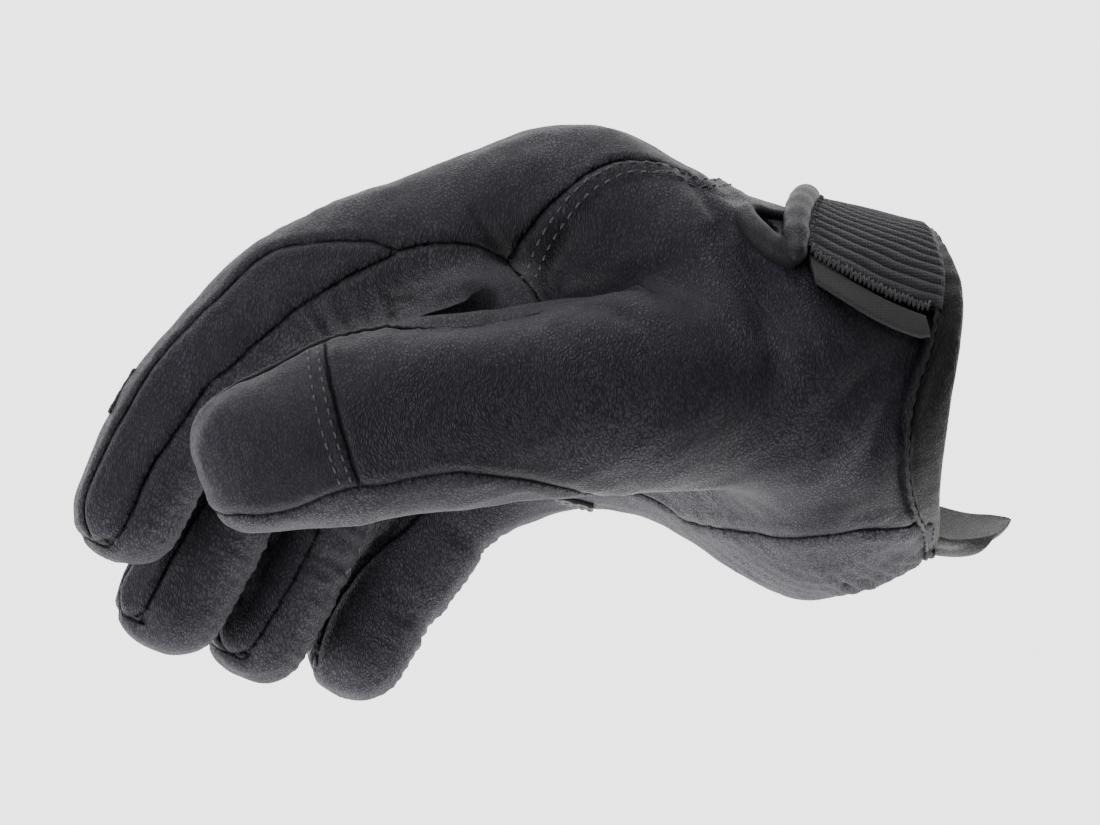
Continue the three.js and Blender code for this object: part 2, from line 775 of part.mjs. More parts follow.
function add(name, solid, look) {
  const { vertProperties, triVerts } = largest(solid).getMesh();
  const geometry = new THREE.BufferGeometry();
  geometry.setAttribute("position", new THREE.BufferAttribute(new Float32Array(vertProperties), 3));
  geometry.setIndex(new THREE.BufferAttribute(new Uint32Array(triVerts), 1));
  geometry.computeVertexNormals();
  const mesh = new THREE.Mesh(geometry, new THREE.MeshStandardMaterial(looks[look]));
  mesh.name = name;
  glove.add(mesh);
}
add("knuckle_panel", knucklePanel, "leather");
add("back_panel", backPanel, "leather");
add("palm_panel", palmPanel, "leather");
for (const strip of strips) add(strip.name, stripWall(strip), "strip");
add("thumb_cap", wall.intersect(capVolume(0)), "leather");
add("thumb_underside", wall.intersect(underThumbVolume(0)), "leather");
add("cuff_binding", binding, "binding");
add("elastic_panel", elastic, "elastic");
add("strap_end_roll", roll, "leather");
add("notch_piping", piping, "leather");
add("tag", tag, "tag");
add("pull_tab", tab, "tab");
add("palm_patch", patch, "strip");

export default glove;
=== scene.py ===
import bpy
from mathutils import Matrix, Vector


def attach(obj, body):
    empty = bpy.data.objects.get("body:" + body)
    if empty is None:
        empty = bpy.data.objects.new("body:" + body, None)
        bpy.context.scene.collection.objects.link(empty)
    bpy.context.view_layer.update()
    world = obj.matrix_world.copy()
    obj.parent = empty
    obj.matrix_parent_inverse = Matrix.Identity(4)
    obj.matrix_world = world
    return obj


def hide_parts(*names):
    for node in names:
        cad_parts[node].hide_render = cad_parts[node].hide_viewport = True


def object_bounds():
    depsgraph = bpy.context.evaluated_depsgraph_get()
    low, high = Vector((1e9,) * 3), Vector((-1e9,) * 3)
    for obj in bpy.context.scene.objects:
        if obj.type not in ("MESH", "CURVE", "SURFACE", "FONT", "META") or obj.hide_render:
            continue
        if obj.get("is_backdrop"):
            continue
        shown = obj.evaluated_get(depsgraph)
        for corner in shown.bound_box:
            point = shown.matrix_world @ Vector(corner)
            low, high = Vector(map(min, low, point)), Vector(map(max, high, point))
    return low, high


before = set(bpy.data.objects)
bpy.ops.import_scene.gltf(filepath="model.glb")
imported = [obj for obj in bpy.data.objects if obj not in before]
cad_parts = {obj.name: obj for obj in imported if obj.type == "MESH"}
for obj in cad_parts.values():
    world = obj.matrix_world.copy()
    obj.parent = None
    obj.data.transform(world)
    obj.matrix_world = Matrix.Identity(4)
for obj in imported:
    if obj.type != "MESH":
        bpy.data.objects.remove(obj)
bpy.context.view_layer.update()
import math

import bpy
import numpy as np

# A right-hand leather glove in its worn form. Lengths are in millimetres until a mesh is made, +X runs to the
# cuff, +Z to the back of the hand and -Y to the thumb side. "turn" is degrees round a tube from its back (0)
# towards its thumb side (90).

# camera
view = dict(aim=(-76.0, 0.0, -4.66), distance=900.0, frameWide=209.0, sensor=36.0)
cameraData = bpy.data.cameras.new("photoCamera")
cameraData.sensor_width = view["sensor"]
cameraData.lens = view["sensor"] * view["distance"] / view["frameWide"]
camera = bpy.data.objects.new("photoCamera", cameraData)
camera.location = (view["aim"][0] / 1000, -view["distance"] / 1000, view["aim"][2] / 1000)
camera.rotation_euler = (math.pi / 2, 0, 0)
bpy.context.scene.collection.objects.link(camera)
bpy.context.scene.camera = camera

# the glove's sizes, begun from those of its solids and then fitted to the photo
glove = dict(
    palmLength=92.0, palmWide=90.0, palmThick=70.0, leather=1.8, bindingWidth=6.0,
    ribPitch=4.2, ribHeight=1.5, ribStart=2.6, ribCount=6, ribMiddle=217, ribSpread=56, ribSlant=0.45,
    ribLevel=185.0, setBackFade=0.5, bendEase=0.09,
)
palmLength, palmWide, palmThick = glove["palmLength"], glove["palmWide"], glove["palmThick"]

# along of palmLength | aside, up, wide of palmWide | thick of palmThick | roll in degrees
handRows = [
    (0, 0, -0.005, 0.74, 0.835, 12), (0.15, -0.01, -0.033, 0.87, 0.95, 18),
    (0.3, -0.02, -0.043, 0.99, 0.99, 26), (0.45, -0.01, 0.01, 1, 0.88, 33),
    (0.6, 0.02, 0.088, 0.98, 0.73, 38), (0.74, 0.05, 0.125, 0.95, 0.74, 41),
    (0.87, 0.055, 0.11, 0.88, 0.56, 42), (0.95, 0.055, 0.1, 0.78, 0.42, 42), (1, 0.055, 0.09, 0.5, 0.25, 42),
]
# along | turn | reach | spread | slant | depth in shares of the leather
handFolds = [(0.4, 93, 0.07, 34, -160, 1.1), (0.13, 118, 0.07, 40, 420, 0.9), (0.24, 140, 0.05, 24, 300, 0.6)]
# turn | set-back of the cuff edge in shares of the binding's width
cuffRows = [
    (0, 0.8), (40, 0.4), (65, 0), (85, 0.1), (110, 0.45), (140, 0.65), (165, 0.5), (190, 0.4), (240, 0.3),
    (300, 0.45), (360, 0.8),
]
# turn | width of the binding's outer side
bandRows = [
    (0, 2.7), (20, 2.6), (35, 2.8), (53, 3.4), (71, 4.7), (89, 5.7), (106, 7.8), (118, 8.5), (130, 8.2),
    (140, 6.9), (150, 5.2), (163, 3.4), (180, 2.6), (232, 2.6), (255, 4.5), (330, 4.5), (360, 2.7),
]
# along | wide | thick, in shares of each digit's own
fingerGirth = [
    (-0.25, 0.8, 0.75), (-0.1, 1, 1.02), (0, 1.04, 1.18), (0.26, 1, 1.1), (0.47, 1, 1.04), (0.6, 0.98, 1),
    (0.73, 0.97, 0.97), (0.88, 0.95, 0.93), (1, 0.92, 0.9),
]
indexGirth = [
    (-0.25, 0.75, 0.62), (-0.1, 1, 0.96), (0, 1.06, 1.27), (0.26, 1.02, 1.21), (0.42, 1, 1.15),
    (0.52, 1, 1.1), (0.62, 0.98, 1.05), (0.73, 0.97, 1), (0.88, 0.95, 0.94), (1, 0.92, 0.9),
]
littleGirth = [
    (-0.25, 0.8, 0.75), (-0.1, 1, 1.02), (0, 1.06, 1.18), (0.26, 1.04, 1.24), (0.45, 1.04, 1.26),
    (0.6, 1.04, 1.22), (0.73, 1.03, 1.12), (0.88, 1, 1.02), (1, 0.94, 0.92),
]
thumbGirth = [
    (0, 0.6, 0.5), (0.16, 0.9, 0.85), (0.35, 1.12, 1.05), (0.53, 1.06, 1.05), (0.68, 1, 1.04),
    (0.78, 0.97, 0.98), (0.88, 0.94, 0.84), (1, 0.9, 0.7),
]
# bones: share of the length, bend below the horizontal and drift to the thumb side in degrees; the first lies
# behind the root, inside the hand
digits = {
    "thumb": dict(length=125, wide=26, thick=34, girth=thumbGirth, roll=0, tip=0.11, blunt=3.2, free=0.33,
                  root=(0.217, 0.26, -0.176),
                  bones=[(0, 0, 0), (0.362, -8.1, 20.7), (0.315, 6, 14.7), (0.323, 16, 3.8)]),
    "index": dict(length=119.5, wide=21, thick=23, girth=indexGirth, roll=28, tip=0.09, blunt=2.4, free=0.2,
                  root=(0.745, 0.385, 0.055),
                  bones=[(0.25, -27, 4), (0.485, 18.7, 1.9), (0.285, 46.5, 3.4), (0.23, 68, 3.3)]),
    "middle": dict(length=117, wide=20.6, thick=23, girth=fingerGirth, roll=28, tip=0.09, blunt=2.4,
                   free=0.12, root=(0.783, 0.162, 0.064),
                   bones=[(0.25, -20, 4), (0.451, 18.1, -2.1), (0.284, 62.5, 3.3), (0.265, 62.2, 5.3)]),
    "ring": dict(length=103, wide=19.5, thick=21.4, girth=fingerGirth, roll=30, tip=0.1, blunt=2.4, free=0.16,
                 root=(0.761, -0.086, 0.057),
                 bones=[(0.25, -12, 0), (0.441, 14.9, -2.5), (0.324, 71, 8.4), (0.235, 61.7, 3.9)]),
    "little": dict(length=79, wide=18.1, thick=19.5, girth=littleGirth, roll=34, tip=0.12, blunt=2.4,
                   free=0.25, root=(0.703, -0.335, 0.033),
                   bones=[(0.25, 0, 0), (0.43, 24, 0), (0.27, 57, 8.2), (0.3, 64, 12)]),
}
fingers = [name for name in digits if name != "thumb"]


def mix(a, b, t):
    return a + (b - a) * t


def ease(t):
    # 0 below 0, 1 above 1 and a smooth step between.
    t = np.clip(t, 0, 1)
    return t * t * (3 - 2 * t)


def bump(t):
    # A smooth hill: cosine squared within -1 to 1, and 0 outside.
    return np.where(np.abs(t) < 1, np.cos(np.clip(t, -1, 1) * np.pi / 2) ** 2, 0)


def unit(v):
    return v / np.maximum(np.linalg.norm(v, axis=-1, keepdims=True), 1e-9)


def readTable(rows, place):
    # Columns of a table at any place: a cubic between two rows, with the slope of the rows beside them.
    rows = np.asarray(rows, float)
    last = len(rows) - 1
    before, after = np.maximum(np.arange(last + 1) - 1, 0), np.minimum(np.arange(last + 1) + 1, last)
    slope = (rows[after] - rows[before]) / (rows[after, :1] - rows[before, :1])
    place = np.asarray(place, float)
    i = np.clip(np.searchsorted(rows[:, 0], place, side="left") - 1, 0, last - 1)
    span = (rows[i + 1, 0] - rows[i, 0])[..., None]
    t = np.clip((place[..., None] - rows[i, :1]) / span, 0, 1)
    value = mix(rows[i], rows[i + 1], t * t * (3 - 2 * t))
    value = value + slope[i] * span * (t**3 - 2 * t**2 + t) + slope[i + 1] * span * (t**3 - t**2)
    return np.moveaxis(value[..., 1:], -1, 0)


def ripples(p, size, seed, count=9, stretch=(1, 1, 1)):
    # Soft unevenness from -1 to 1: a sum of sines that run in random directions, with wavelengths about
    # size.
    random = np.random.default_rng(seed)
    ways = unit(random.normal(size=(count, 3))) / np.asarray(stretch)
    waves = np.exp(random.uniform(-0.35, 0.35, count))
    start = random.uniform(0, 2 * np.pi, count)
    total = sum(np.sin(p @ (way * wave * 2 * np.pi / size) + s) for way, wave, s in zip(ways, waves, start))
    return total / count**0.5


# the hand's own tube
def wristRib(x, turn):
    slant = glove["ribSlant"] * np.clip(turn % 360 - glove["ribLevel"], -35, 15)
    along = (slant - x - glove["ribStart"]) / glove["ribPitch"]
    height = np.where((along > 0) & (along < glove["ribCount"]), glove["ribHeight"], 0)
    fade = np.clip(2.2 * bump((turn % 360 - glove["ribMiddle"]) / glove["ribSpread"]), 0, 1)
    return height * np.abs(np.sin(along * np.pi)) * fade * np.clip((glove["ribCount"] - along) / 2, 0, 1)


def foldDepth(x, turn):
    sink = 0
    for along, middle, reach, spread, slant, depth in handFolds:
        aside = turn % 360 - middle
        off = -x / palmLength - along - aside / slant
        sink = sink + depth * glove["leather"] * bump(off / reach) * bump(aside / spread)
    return sink


def setBack(x, turn):
    fade = np.clip(1 + x / palmLength / glove["setBackFade"], 0, 1) ** 2
    return readTable(cuffRows, turn % 360)[0] * glove["bindingWidth"] * fade


def handFrame(x):
    aside, up, wide, thick, roll = readTable(handRows, -x / palmLength)
    roll, zero = np.radians(roll), np.zeros_like(roll)
    centre = np.stack([x + zero, aside * palmWide, up * palmWide], -1)
    side = np.stack([zero, -np.cos(roll), np.sin(roll)], -1)
    top = np.stack([zero, np.sin(roll), np.cos(roll)], -1)
    return centre, side, top, wide * palmWide / 2, thick * palmThick / 2


def handPoint(x, turn, lift=0.0):
    # A point of the hand: its centre line at x, plus its half-width by sine and half-height by cosine of
    # turn.
    x, turn, lift = np.broadcast_arrays(*[np.asarray(v, float) for v in (x, turn, lift)])
    centre, side, top, halfSide, halfTop = handFrame(x)
    raised = lift + wristRib(x, turn) - foldDepth(x, turn)
    centre[..., 0] -= setBack(x, turn)
    angle = np.radians(turn)
    return (centre + side * ((halfSide + raised) * np.sin(angle))[..., None]
            + top * ((halfTop + raised) * np.cos(angle))[..., None])


def ovalDistance(u, v, halfSide, halfTop):
    # Distance from an oval, to first order: (rho - 1) over the slope of rho, which is 1 on the oval.
    rho = np.sqrt((u / halfSide) ** 2 + (v / halfTop) ** 2) + 1e-6
    slope = np.sqrt(u**2 / halfSide**4 + v**2 / halfTop**4) / rho + 1e-6
    return (rho - 1) / slope, rho, slope


def smoothMin(a, b, reach):
    # The lower of two distances, rounded where they cross within reach.
    h = np.clip(0.5 + 0.5 * (b - a) / reach, 0, 1)
    return mix(b, a, h) - reach * h * (1 - h)


def handPlace(p):
    # Where a point lies on the hand's tube: distance off it, x along it and turn round it.
    x = p[:, 0]
    for _ in range(2):
        centre, side, top, halfSide, halfTop = handFrame(x)
        off = p - centre
        off[:, 0] = 0
        u, v = (off * side).sum(1), (off * top).sum(1)
        turn = np.degrees(np.arctan2(u / halfSide, v / halfTop)) % 360
        x = p[:, 0] + setBack(x, turn)
    distance = ovalDistance(u, v, halfSide, halfTop)[0] + foldDepth(x, turn)
    end = -(x + palmLength)
    return -smoothMin(-distance, -end, 5.0), x, turn


# fingers and thumb
def bentPath(digit, count=110):
    # Straight bones joined by a round bend at each joint, as points an equal distance apart.
    along, across, lift = digit["root"]
    centre, side, top, _, _ = handFrame(np.array([-along * palmLength]))
    origin = centre[0] + side[0] * across * palmWide + top[0] * lift * palmThick
    share, bend, drift = np.array(digit["bones"], float).T
    bend, drift = np.radians(bend), np.radians(drift)
    way = np.stack([np.cos(bend) * np.cos(drift), np.sin(drift), np.sin(bend) * np.cos(drift)], -1)
    joints = origin + np.cumsum(np.vstack([share[:1, None] * way[:1] * digit["length"],
                                           -share[:, None] * way * digit["length"]]), 0)
    line, t = [joints[:1]], np.linspace(0, 1, 24)[:, None]
    for i in range(1, len(joints) - 1):
        enter = joints[i] + unit(joints[i - 1] - joints[i]) * glove["bendEase"] * digit["length"]
        leave = joints[i] + unit(joints[i + 1] - joints[i]) * glove["bendEase"] * digit["length"]
        line.append(enter * (1 - t) ** 2 + joints[i] * 2 * t * (1 - t) + leave * t**2)
    line = np.vstack([*line, joints[-1:]])
    return evenly(line, count)


def evenly(line, count):
    # The same line through count points an equal distance apart.
    gone = np.concatenate([[0], np.cumsum(np.linalg.norm(np.diff(line, axis=0), axis=1))])
    even = np.linspace(0, gone[-1], count)
    return np.stack([np.interp(even, gone, line[:, k]) for k in range(3)], -1), gone[-1]


for digit in digits.values():
    digit["line"], digit["run"] = bentPath(digit)
    digit["way"] = unit(np.gradient(digit["line"], axis=0))
    digit["curl"] = np.gradient(digit["way"], axis=0) / (digit["run"] / (len(digit["line"]) - 1))
    roll = math.radians(digit["roll"])
    digit["aside"] = np.array([0, -math.cos(roll), math.sin(roll)])


def digitFrame(digit, travelled):
    # Centre, way, side and top of a digit after some millimetres of its centre line, straight on past its
    # ends.
    spot = np.clip(travelled / digit["run"], 0, 1) * (len(digit["line"]) - 1)
    i = np.minimum(spot.astype(int), len(digit["line"]) - 2)
    t = (spot - i)[..., None]
    way = unit(mix(digit["way"][i], digit["way"][i + 1], t))
    centre = mix(digit["line"][i], digit["line"][i + 1], t)
    centre = centre + way * (travelled - np.clip(travelled, 0, digit["run"]))[..., None]
    side = unit(digit["aside"] - way * (way @ digit["aside"])[..., None])
    return centre, way, side, np.cross(way, side)


def digitPlace(digit, p):
    # Where a point lies on a digit: distance off it, along it (0 root, 1 tip) and turn round it.
    near = np.concatenate([
        np.argmin(((part[:, None, :] - digit["line"][None]) ** 2).sum(2), 1)
        for part in np.array_split(p, len(p) // 20000 + 1)
    ])
    step = digit["run"] / (len(digit["line"]) - 1)
    off = p - digit["line"][near]
    curve = np.clip(1 - (off * digit["curl"][near]).sum(1), 0.35, 3)
    travelled = near * step + (off * digit["way"][near]).sum(1) / curve
    centre, way, side, top = digitFrame(digit, travelled)
    off = p - centre
    u, v = (off * side).sum(1), (off * top).sum(1)
    behind = digit["bones"][0][0]
    along = travelled / digit["run"] * (1 + behind) - behind
    wide, thick = readTable(digit["girth"], along)
    halfSide, halfTop = wide * digit["wide"] / 2, thick * digit["thick"] / 2
    _, rho, slope = ovalDistance(u, v, halfSide, halfTop)
    blunt = digit["blunt"]
    into = np.clip((along - 1 + digit["tip"]) / digit["tip"], 0, None)
    whole = (rho**blunt + into**blunt) ** (1 / blunt)
    tipLength = digit["tip"] * digit["run"] / (1 + behind)
    rise = np.sqrt(((rho / whole) ** (blunt - 1) * slope) ** 2
                   + ((into / whole) ** (blunt - 1) / tipLength) ** 2)
    distance = (whole - 1) / rise
    distance = -smoothMin(-distance, travelled, 3.0)
    return distance, along, np.degrees(np.arctan2(u / halfSide, v / halfTop)) % 360


def gloveField(p):
    # Distance off the outside of the glove, and where each point lies on every tube.
    places = {"hand": handPlace(p), "point": p}
    for name, digit in digits.items():
        low, high = digit["line"].min(0) - 34, digit["line"].max(0) + 34
        near = ((p > low) & (p < high)).all(1)
        far = [np.full(len(p), 40.0), np.full(len(p), -0.2), np.full(len(p), 180.0)]
        if near.any():
            for values, found in zip(far, digitPlace(digit, p[near])):
                values[near] = found
        places[name] = far
    together = places["index"][0]
    for name in fingers[1:]:
        together = smoothMin(together, places[name][0], 0.7)
    body = smoothMin(places["hand"][0], together, 6.0)
    alone = ease((places["thumb"][1] - 0.3) / 0.22)
    return smoothMin(body, places["thumb"][0], mix(11.0, 0.7, alone)), places


def slopeOf(p, step=0.15):
    # The way out of the glove at each point, from differences of its field.
    shift = np.eye(3) * step
    return unit(np.stack([gloveField(p + s)[0] - gloveField(p - s)[0] for s in shift], -1))


# the outside of the glove as one net of four-sided faces
def netOf(low, high, pitch):
    # Surface net: one point in each cell that the field's zero crosses, in the middle of the crossings on
    # its edges, and a face across each grid edge whose ends lie on different sides.
    low, ratio = np.asarray(low, float), 4
    cells = np.ceil((np.asarray(high) - low) / (pitch * ratio)).astype(int)
    coarse = np.stack(np.meshgrid(*[np.arange(n + 1) for n in cells], indexing="ij"), -1).reshape(-1, 3)
    rough = gloveField(low + coarse * pitch * ratio)[0].reshape(cells + 1)
    nearest = [(np.arange(n * ratio + 1) + ratio // 2) // ratio for n in cells]
    values = rough[np.ix_(*nearest)].copy()
    band = np.argwhere(np.abs(values) < pitch * ratio * 0.87 + 1.5)
    values[tuple(band.T)] = gloveField(low + band * pitch)[0]

    corners = np.array([(i, j, k) for i in (0, 1) for j in (0, 1) for k in (0, 1)])
    inside = values < 0
    shape = np.array(values.shape) - 1
    count = sum(inside[tuple(slice(c, c + n) for c, n in zip(corner, shape))].astype(int)
                for corner in corners)
    crossed = np.argwhere((count > 0) & (count < 8))
    index = np.full(shape, -1)
    index[tuple(crossed.T)] = np.arange(len(crossed))
    total, found = np.zeros((len(crossed), 3)), np.zeros(len(crossed))
    for a in corners:
        for b in corners:
            if (b - a).min() < 0 or (b - a).sum() != 1:
                continue
            first, second = values[tuple((crossed + a).T)], values[tuple((crossed + b).T)]
            cut = (first < 0) != (second < 0)
            t = np.where(cut, first / np.where(cut, first - second, 1), 0)
            total += np.where(cut[:, None], a + t[:, None] * (b - a), 0)
            found += cut
    points = low + pitch * (crossed + total / found[:, None])

    faces = []
    for axis in range(3):
        other, third = (axis + 1) % 3, (axis + 2) % 3
        step = np.eye(3, dtype=int)
        ends = [slice(1, n) for n in shape]
        ends[axis] = slice(0, shape[axis])
        start = inside[tuple(ends)]
        ends[axis] = slice(1, shape[axis] + 1)
        cut = start != inside[tuple(ends)]
        at = np.argwhere(cut) + 1
        at[:, axis] -= 1
        ring = [at - step[other] - step[third], at - step[third], at, at - step[other]]
        quad = np.stack([index[tuple(r.T)] for r in ring], -1)
        outward = start[cut]
        quad[~outward] = quad[~outward][:, ::-1]
        faces.append(quad[(quad >= 0).all(1)])
    return points, np.vstack(faces)


def edgesOf(faces):
    pairs = np.vstack([faces[:, [k, (k + 1) % 4]] for k in range(4)])
    return np.unique(np.sort(pairs, 1), axis=0)


def relaxed(points, edges, times, share, only=None):
    # Each point moves a share of the way to the middle of its neighbours.
    points = points.copy()
    for _ in range(times):
        total, count = np.zeros_like(points), np.zeros(len(points))
        for a, b in (edges.T, edges.T[::-1]):
            for axis in range(3):
                total[:, axis] += np.bincount(a, points[b, axis], len(points))
            count += np.bincount(a, minlength=len(points))
        middle = total / np.maximum(count, 1)[:, None]
        move = (count > 0) if only is None else only & (count > 0)
        points[move] = mix(points[move], middle[move], share)
    return points


def onField(points, times=1):
    for _ in range(times):
        points = points - slopeOf(points) * gloveField(points)[0][:, None]
    return points


skin = dict(pitch=0.95, low=(-180, -72, -72), high=(7, 50, 56))
points, faces = netOf(skin["low"], skin["high"], skin["pitch"])
print("net:", len(points), "points", len(faces), "faces")
skinEdges = edgesOf(faces)
points = onField(relaxed(onField(points), skinEdges, 3, 0.5))
fieldNormals = slopeOf(points)
places = gloveField(points)[1]
print("net laid on the field")

# panels, each as a distance in millimetres inside its own edges
# x | z of the seam from the thumb's tip to the cuff, as seen from the thumb side
sideSeam = [
    (-140, -22), (-127, -22.8), (-120, -21.5), (-114.8, -19.2), (-110.4, -18), (-102.5, -16.9),
    (-93.7, -15.2), (-85, -15.9), (-76, -17.6), (-66, -20.4), (-59, -22.8), (-47.6, -25.9), (-37, -27.4),
    (-30, -27.6), (-20.8, -26.8), (-7.3, -25.5), (5, -25),
]
# along | turn of the palm's edge between the thumb and the index finger
rootSeam = [(0.6, 175), (0.75, 166), (0.8, 155), (0.86, 141), (0.908, 132), (0.94, 129), (0.98, 126),
            (1.2, 125)]
# turn | along
knuckleSeam = [
    (-100, 0.67), (-60, 0.56), (-20, 0.5), (10, 0.475), (40, 0.49), (60, 0.52), (66, 0.545), (69, 0.59),
    (74, 0.622), (83, 0.688), (90, 0.726), (95, 0.758), (106, 0.816), (119, 0.874), (132, 0.908), (150, 0.92),
]
# turn | along
capEdge = [(-20, 0.77), (0, 0.772), (44, 0.783), (80, 0.789), (106, 0.788), (130, 0.784), (180, 0.78)]
# along | back edge, palm edge of a finger's side strip, as turns; the index finger's starts as a point
stripEdges = {
    "index thumb": [
        (0.1, 165, 165), (0.15, 153, 153), (0.174, 138, 138), (0.2, 126, 126), (0.235, 118, 118),
        (0.271, 113, 113), (0.31, 112, 112), (0.338, 99, 115), (0.387, 88, 118), (0.429, 78, 121),
        (0.476, 66, 122), (0.52, 61, 122), (0.573, 62, 120), (0.63, 60, 118), (0.693, 57, 115),
        (0.75, 58, 116), (0.8, 56, 113), (0.85, 50, 107), (0.9, 47, 106), (0.953, 50, 104), (1, 48, 90),
    ],
    "middle thumb": [(0.1, 52, 104), (0.5, 46, 104), (0.7, 38, 92), (0.8, 36, 85), (1, 30, 85)],
    "little thumb": [
        (0.1, 45, 100), (0.45, 30, 96), (0.55, 16, 90), (0.65, 4, 76), (0.75, -8, 61), (0.82, -10, 54),
        (0.9, -10, 55), (1, -10, 50),
    ],
    "other": [(0.1, 57, 105), (0.5, 51, 111), (0.8, 51, 111), (1, 54, 106)],
}
seams = dict(littleSide=260.0, palmFace=205.0, thumbBack=8.0, stripEnd=0.972, indexEnd=0.985, endRound=5.0)


def arc(turn, radius):
    return np.radians(turn) * radius


def roundedCorner(a, b, radius):
    # Distance inside two edges whose corner is rounded: the radius less the length of what is missing to
    # it.
    return radius - np.hypot(np.clip(radius - a, 0, None), np.clip(radius - b, 0, None))


def stripEdge(name, facing, place):
    return readTable(stripEdges.get(name + " " + facing, stripEdges["other"]), place)


def panelDistances(places):
    # Signed distances inside each panel, in the order in which one lies over the next; and the same for the
    # hides that are cut in one piece, for the seams between them.
    x, turn = places["hand"][1], places["hand"][2]
    signed = (turn + 180) % 360 - 180
    along = -x / palmLength
    reach = 38.0
    above = places["point"][:, 2] - readTable(sideSeam, places["point"][:, 0])[0]
    inside = {}

    thumb, place, around = places["thumb"]
    digit = digits["thumb"]
    others = np.min([places[name][0] for name in ["hand", *fingers]], 0)
    ownThumb = np.minimum((place - digit["free"]) * digit["length"], others - thumb + 3.0)
    thumbTurn = (around + 180) % 360 - 180
    nearSide = np.minimum(arc(thumbTurn - seams["thumbBack"], 15), above)
    capFront = (place - readTable(capEdge, thumbTurn)[0]) * digit["length"]
    inside["thumb_cap"] = np.minimum(np.minimum(capFront, nearSide), ownThumb)
    inside["thumb_underside"] = np.minimum(ownThumb, -nearSide)

    nearest = np.argmin([places[name][0] for name in fingers], 0)
    palmFinger, isFinger = np.full(len(x), -20.0), np.full(len(x), -20.0)
    for k, name in enumerate(fingers):
        digit = digits[name]
        distance, place, around = places[name]
        fingerTurn = (around + 180) % 360 - 180
        rest = np.min([places[other][0] for other in ["hand", *digits] if other != name], 0)
        own = np.minimum((place - digit["free"]) * digit["length"],
                         rest - distance + np.where(place > 0.3, 4.0, 0.0))
        radius = digit["wide"] / 2
        mine = nearest == k
        last = seams["indexEnd"] if name == "index" else seams["stripEnd"]
        for facing, sign in (("thumb", 1), ("little", -1)):
            back, low = stripEdge(name, facing, place)
            band = np.minimum(arc(sign * fingerTurn - back, radius), arc(low - sign * fingerTurn, radius))
            strip = roundedCorner(band, (last - place) * digit["length"], seams["endRound"])
            strip = np.minimum(np.minimum(strip, (place - digit["free"] - 0.03) * digit["length"]), own)
            inside[name + "_strip_" + facing + "_side"] = np.where(mine, strip, -20.0)
        low, high = stripEdge(name, "thumb", place)[1], 360 - stripEdge(name, "little", place)[1]
        palmSide = np.minimum(arc(around - low, radius), arc(high - around, radius))
        palmSide = np.maximum(palmSide, (place - last) * digit["length"])
        palmFinger, isFinger = np.where(mine, palmSide, palmFinger), np.where(mine, own, isFinger)
    share = ease(isFinger / 5 + 0.5)
    rootEdge = arc(turn - readTable(rootSeam, along)[0], reach)
    palmEdge = mix(np.maximum(-above, arc(turn - seams["palmFace"], reach)), rootEdge,
                   ease((along - 0.66) / 0.06))
    palm = mix(np.minimum(palmEdge, arc(seams["littleSide"] - turn, reach)), palmFinger, share)
    inside["palm_panel"] = np.minimum(palm, -ownThumb)
    front = (along - readTable(knuckleSeam, np.clip(signed, -100, 150))[0]) * palmLength * 0.78
    front = np.minimum(front, arc(readTable(rootSeam, along)[0] - signed, reach))
    front = np.minimum(front, arc(signed - seams["littleSide"] + 360, reach))
    inside["knuckle_panel"] = np.minimum(mix(front, 12.0, share), -ownThumb)

    hides = {name: value for name, value in inside.items() if name != "thumb_underside"}
    hides["palm_panel"] = mix(palm, -nearSide, ease(ownThumb / 4 + 0.5))
    return inside, hides


def firstOf(inside):
    # Number of the first panel that holds each point (one past the last for none), and its distances.
    stack = np.stack(list(inside.values()))
    return np.where((stack > 0).any(0), np.argmax(stack > 0, 0), len(stack)), stack


def seamGap(hides):
    # Distance to the nearest seam: inside the hide that holds the point, or out to one that lies over it.
    label, stack = firstOf(hides)
    over = np.where(np.arange(len(stack))[:, None] < label, -stack, 99.0).min(0)
    own = np.where(label < len(stack), stack[np.minimum(label, len(stack) - 1), np.arange(stack.shape[1])],
                   99.0)
    return np.minimum(over, own)


inside, hides = panelDistances(places)
panelNames = [*inside, "back_panel"]

# relief: seams, folds, ribs and soft unevenness, in millimetres along the outside's normal
relief = dict(seamDepth=0.28, seamWide=0.5, lip=0.24, lipAt=1.7, lipWide=1.1, doubled=0.45, waves=0.2,
              creases=0.1, cuffGroove=0.7, ribHigh=0.14, ribPitch=2.4, bulgeHigh=0.22, bulgePitch=5.2,
              backHigh=0.12, backPitch=3.2, combHigh=0.08, combPitch=2.1)
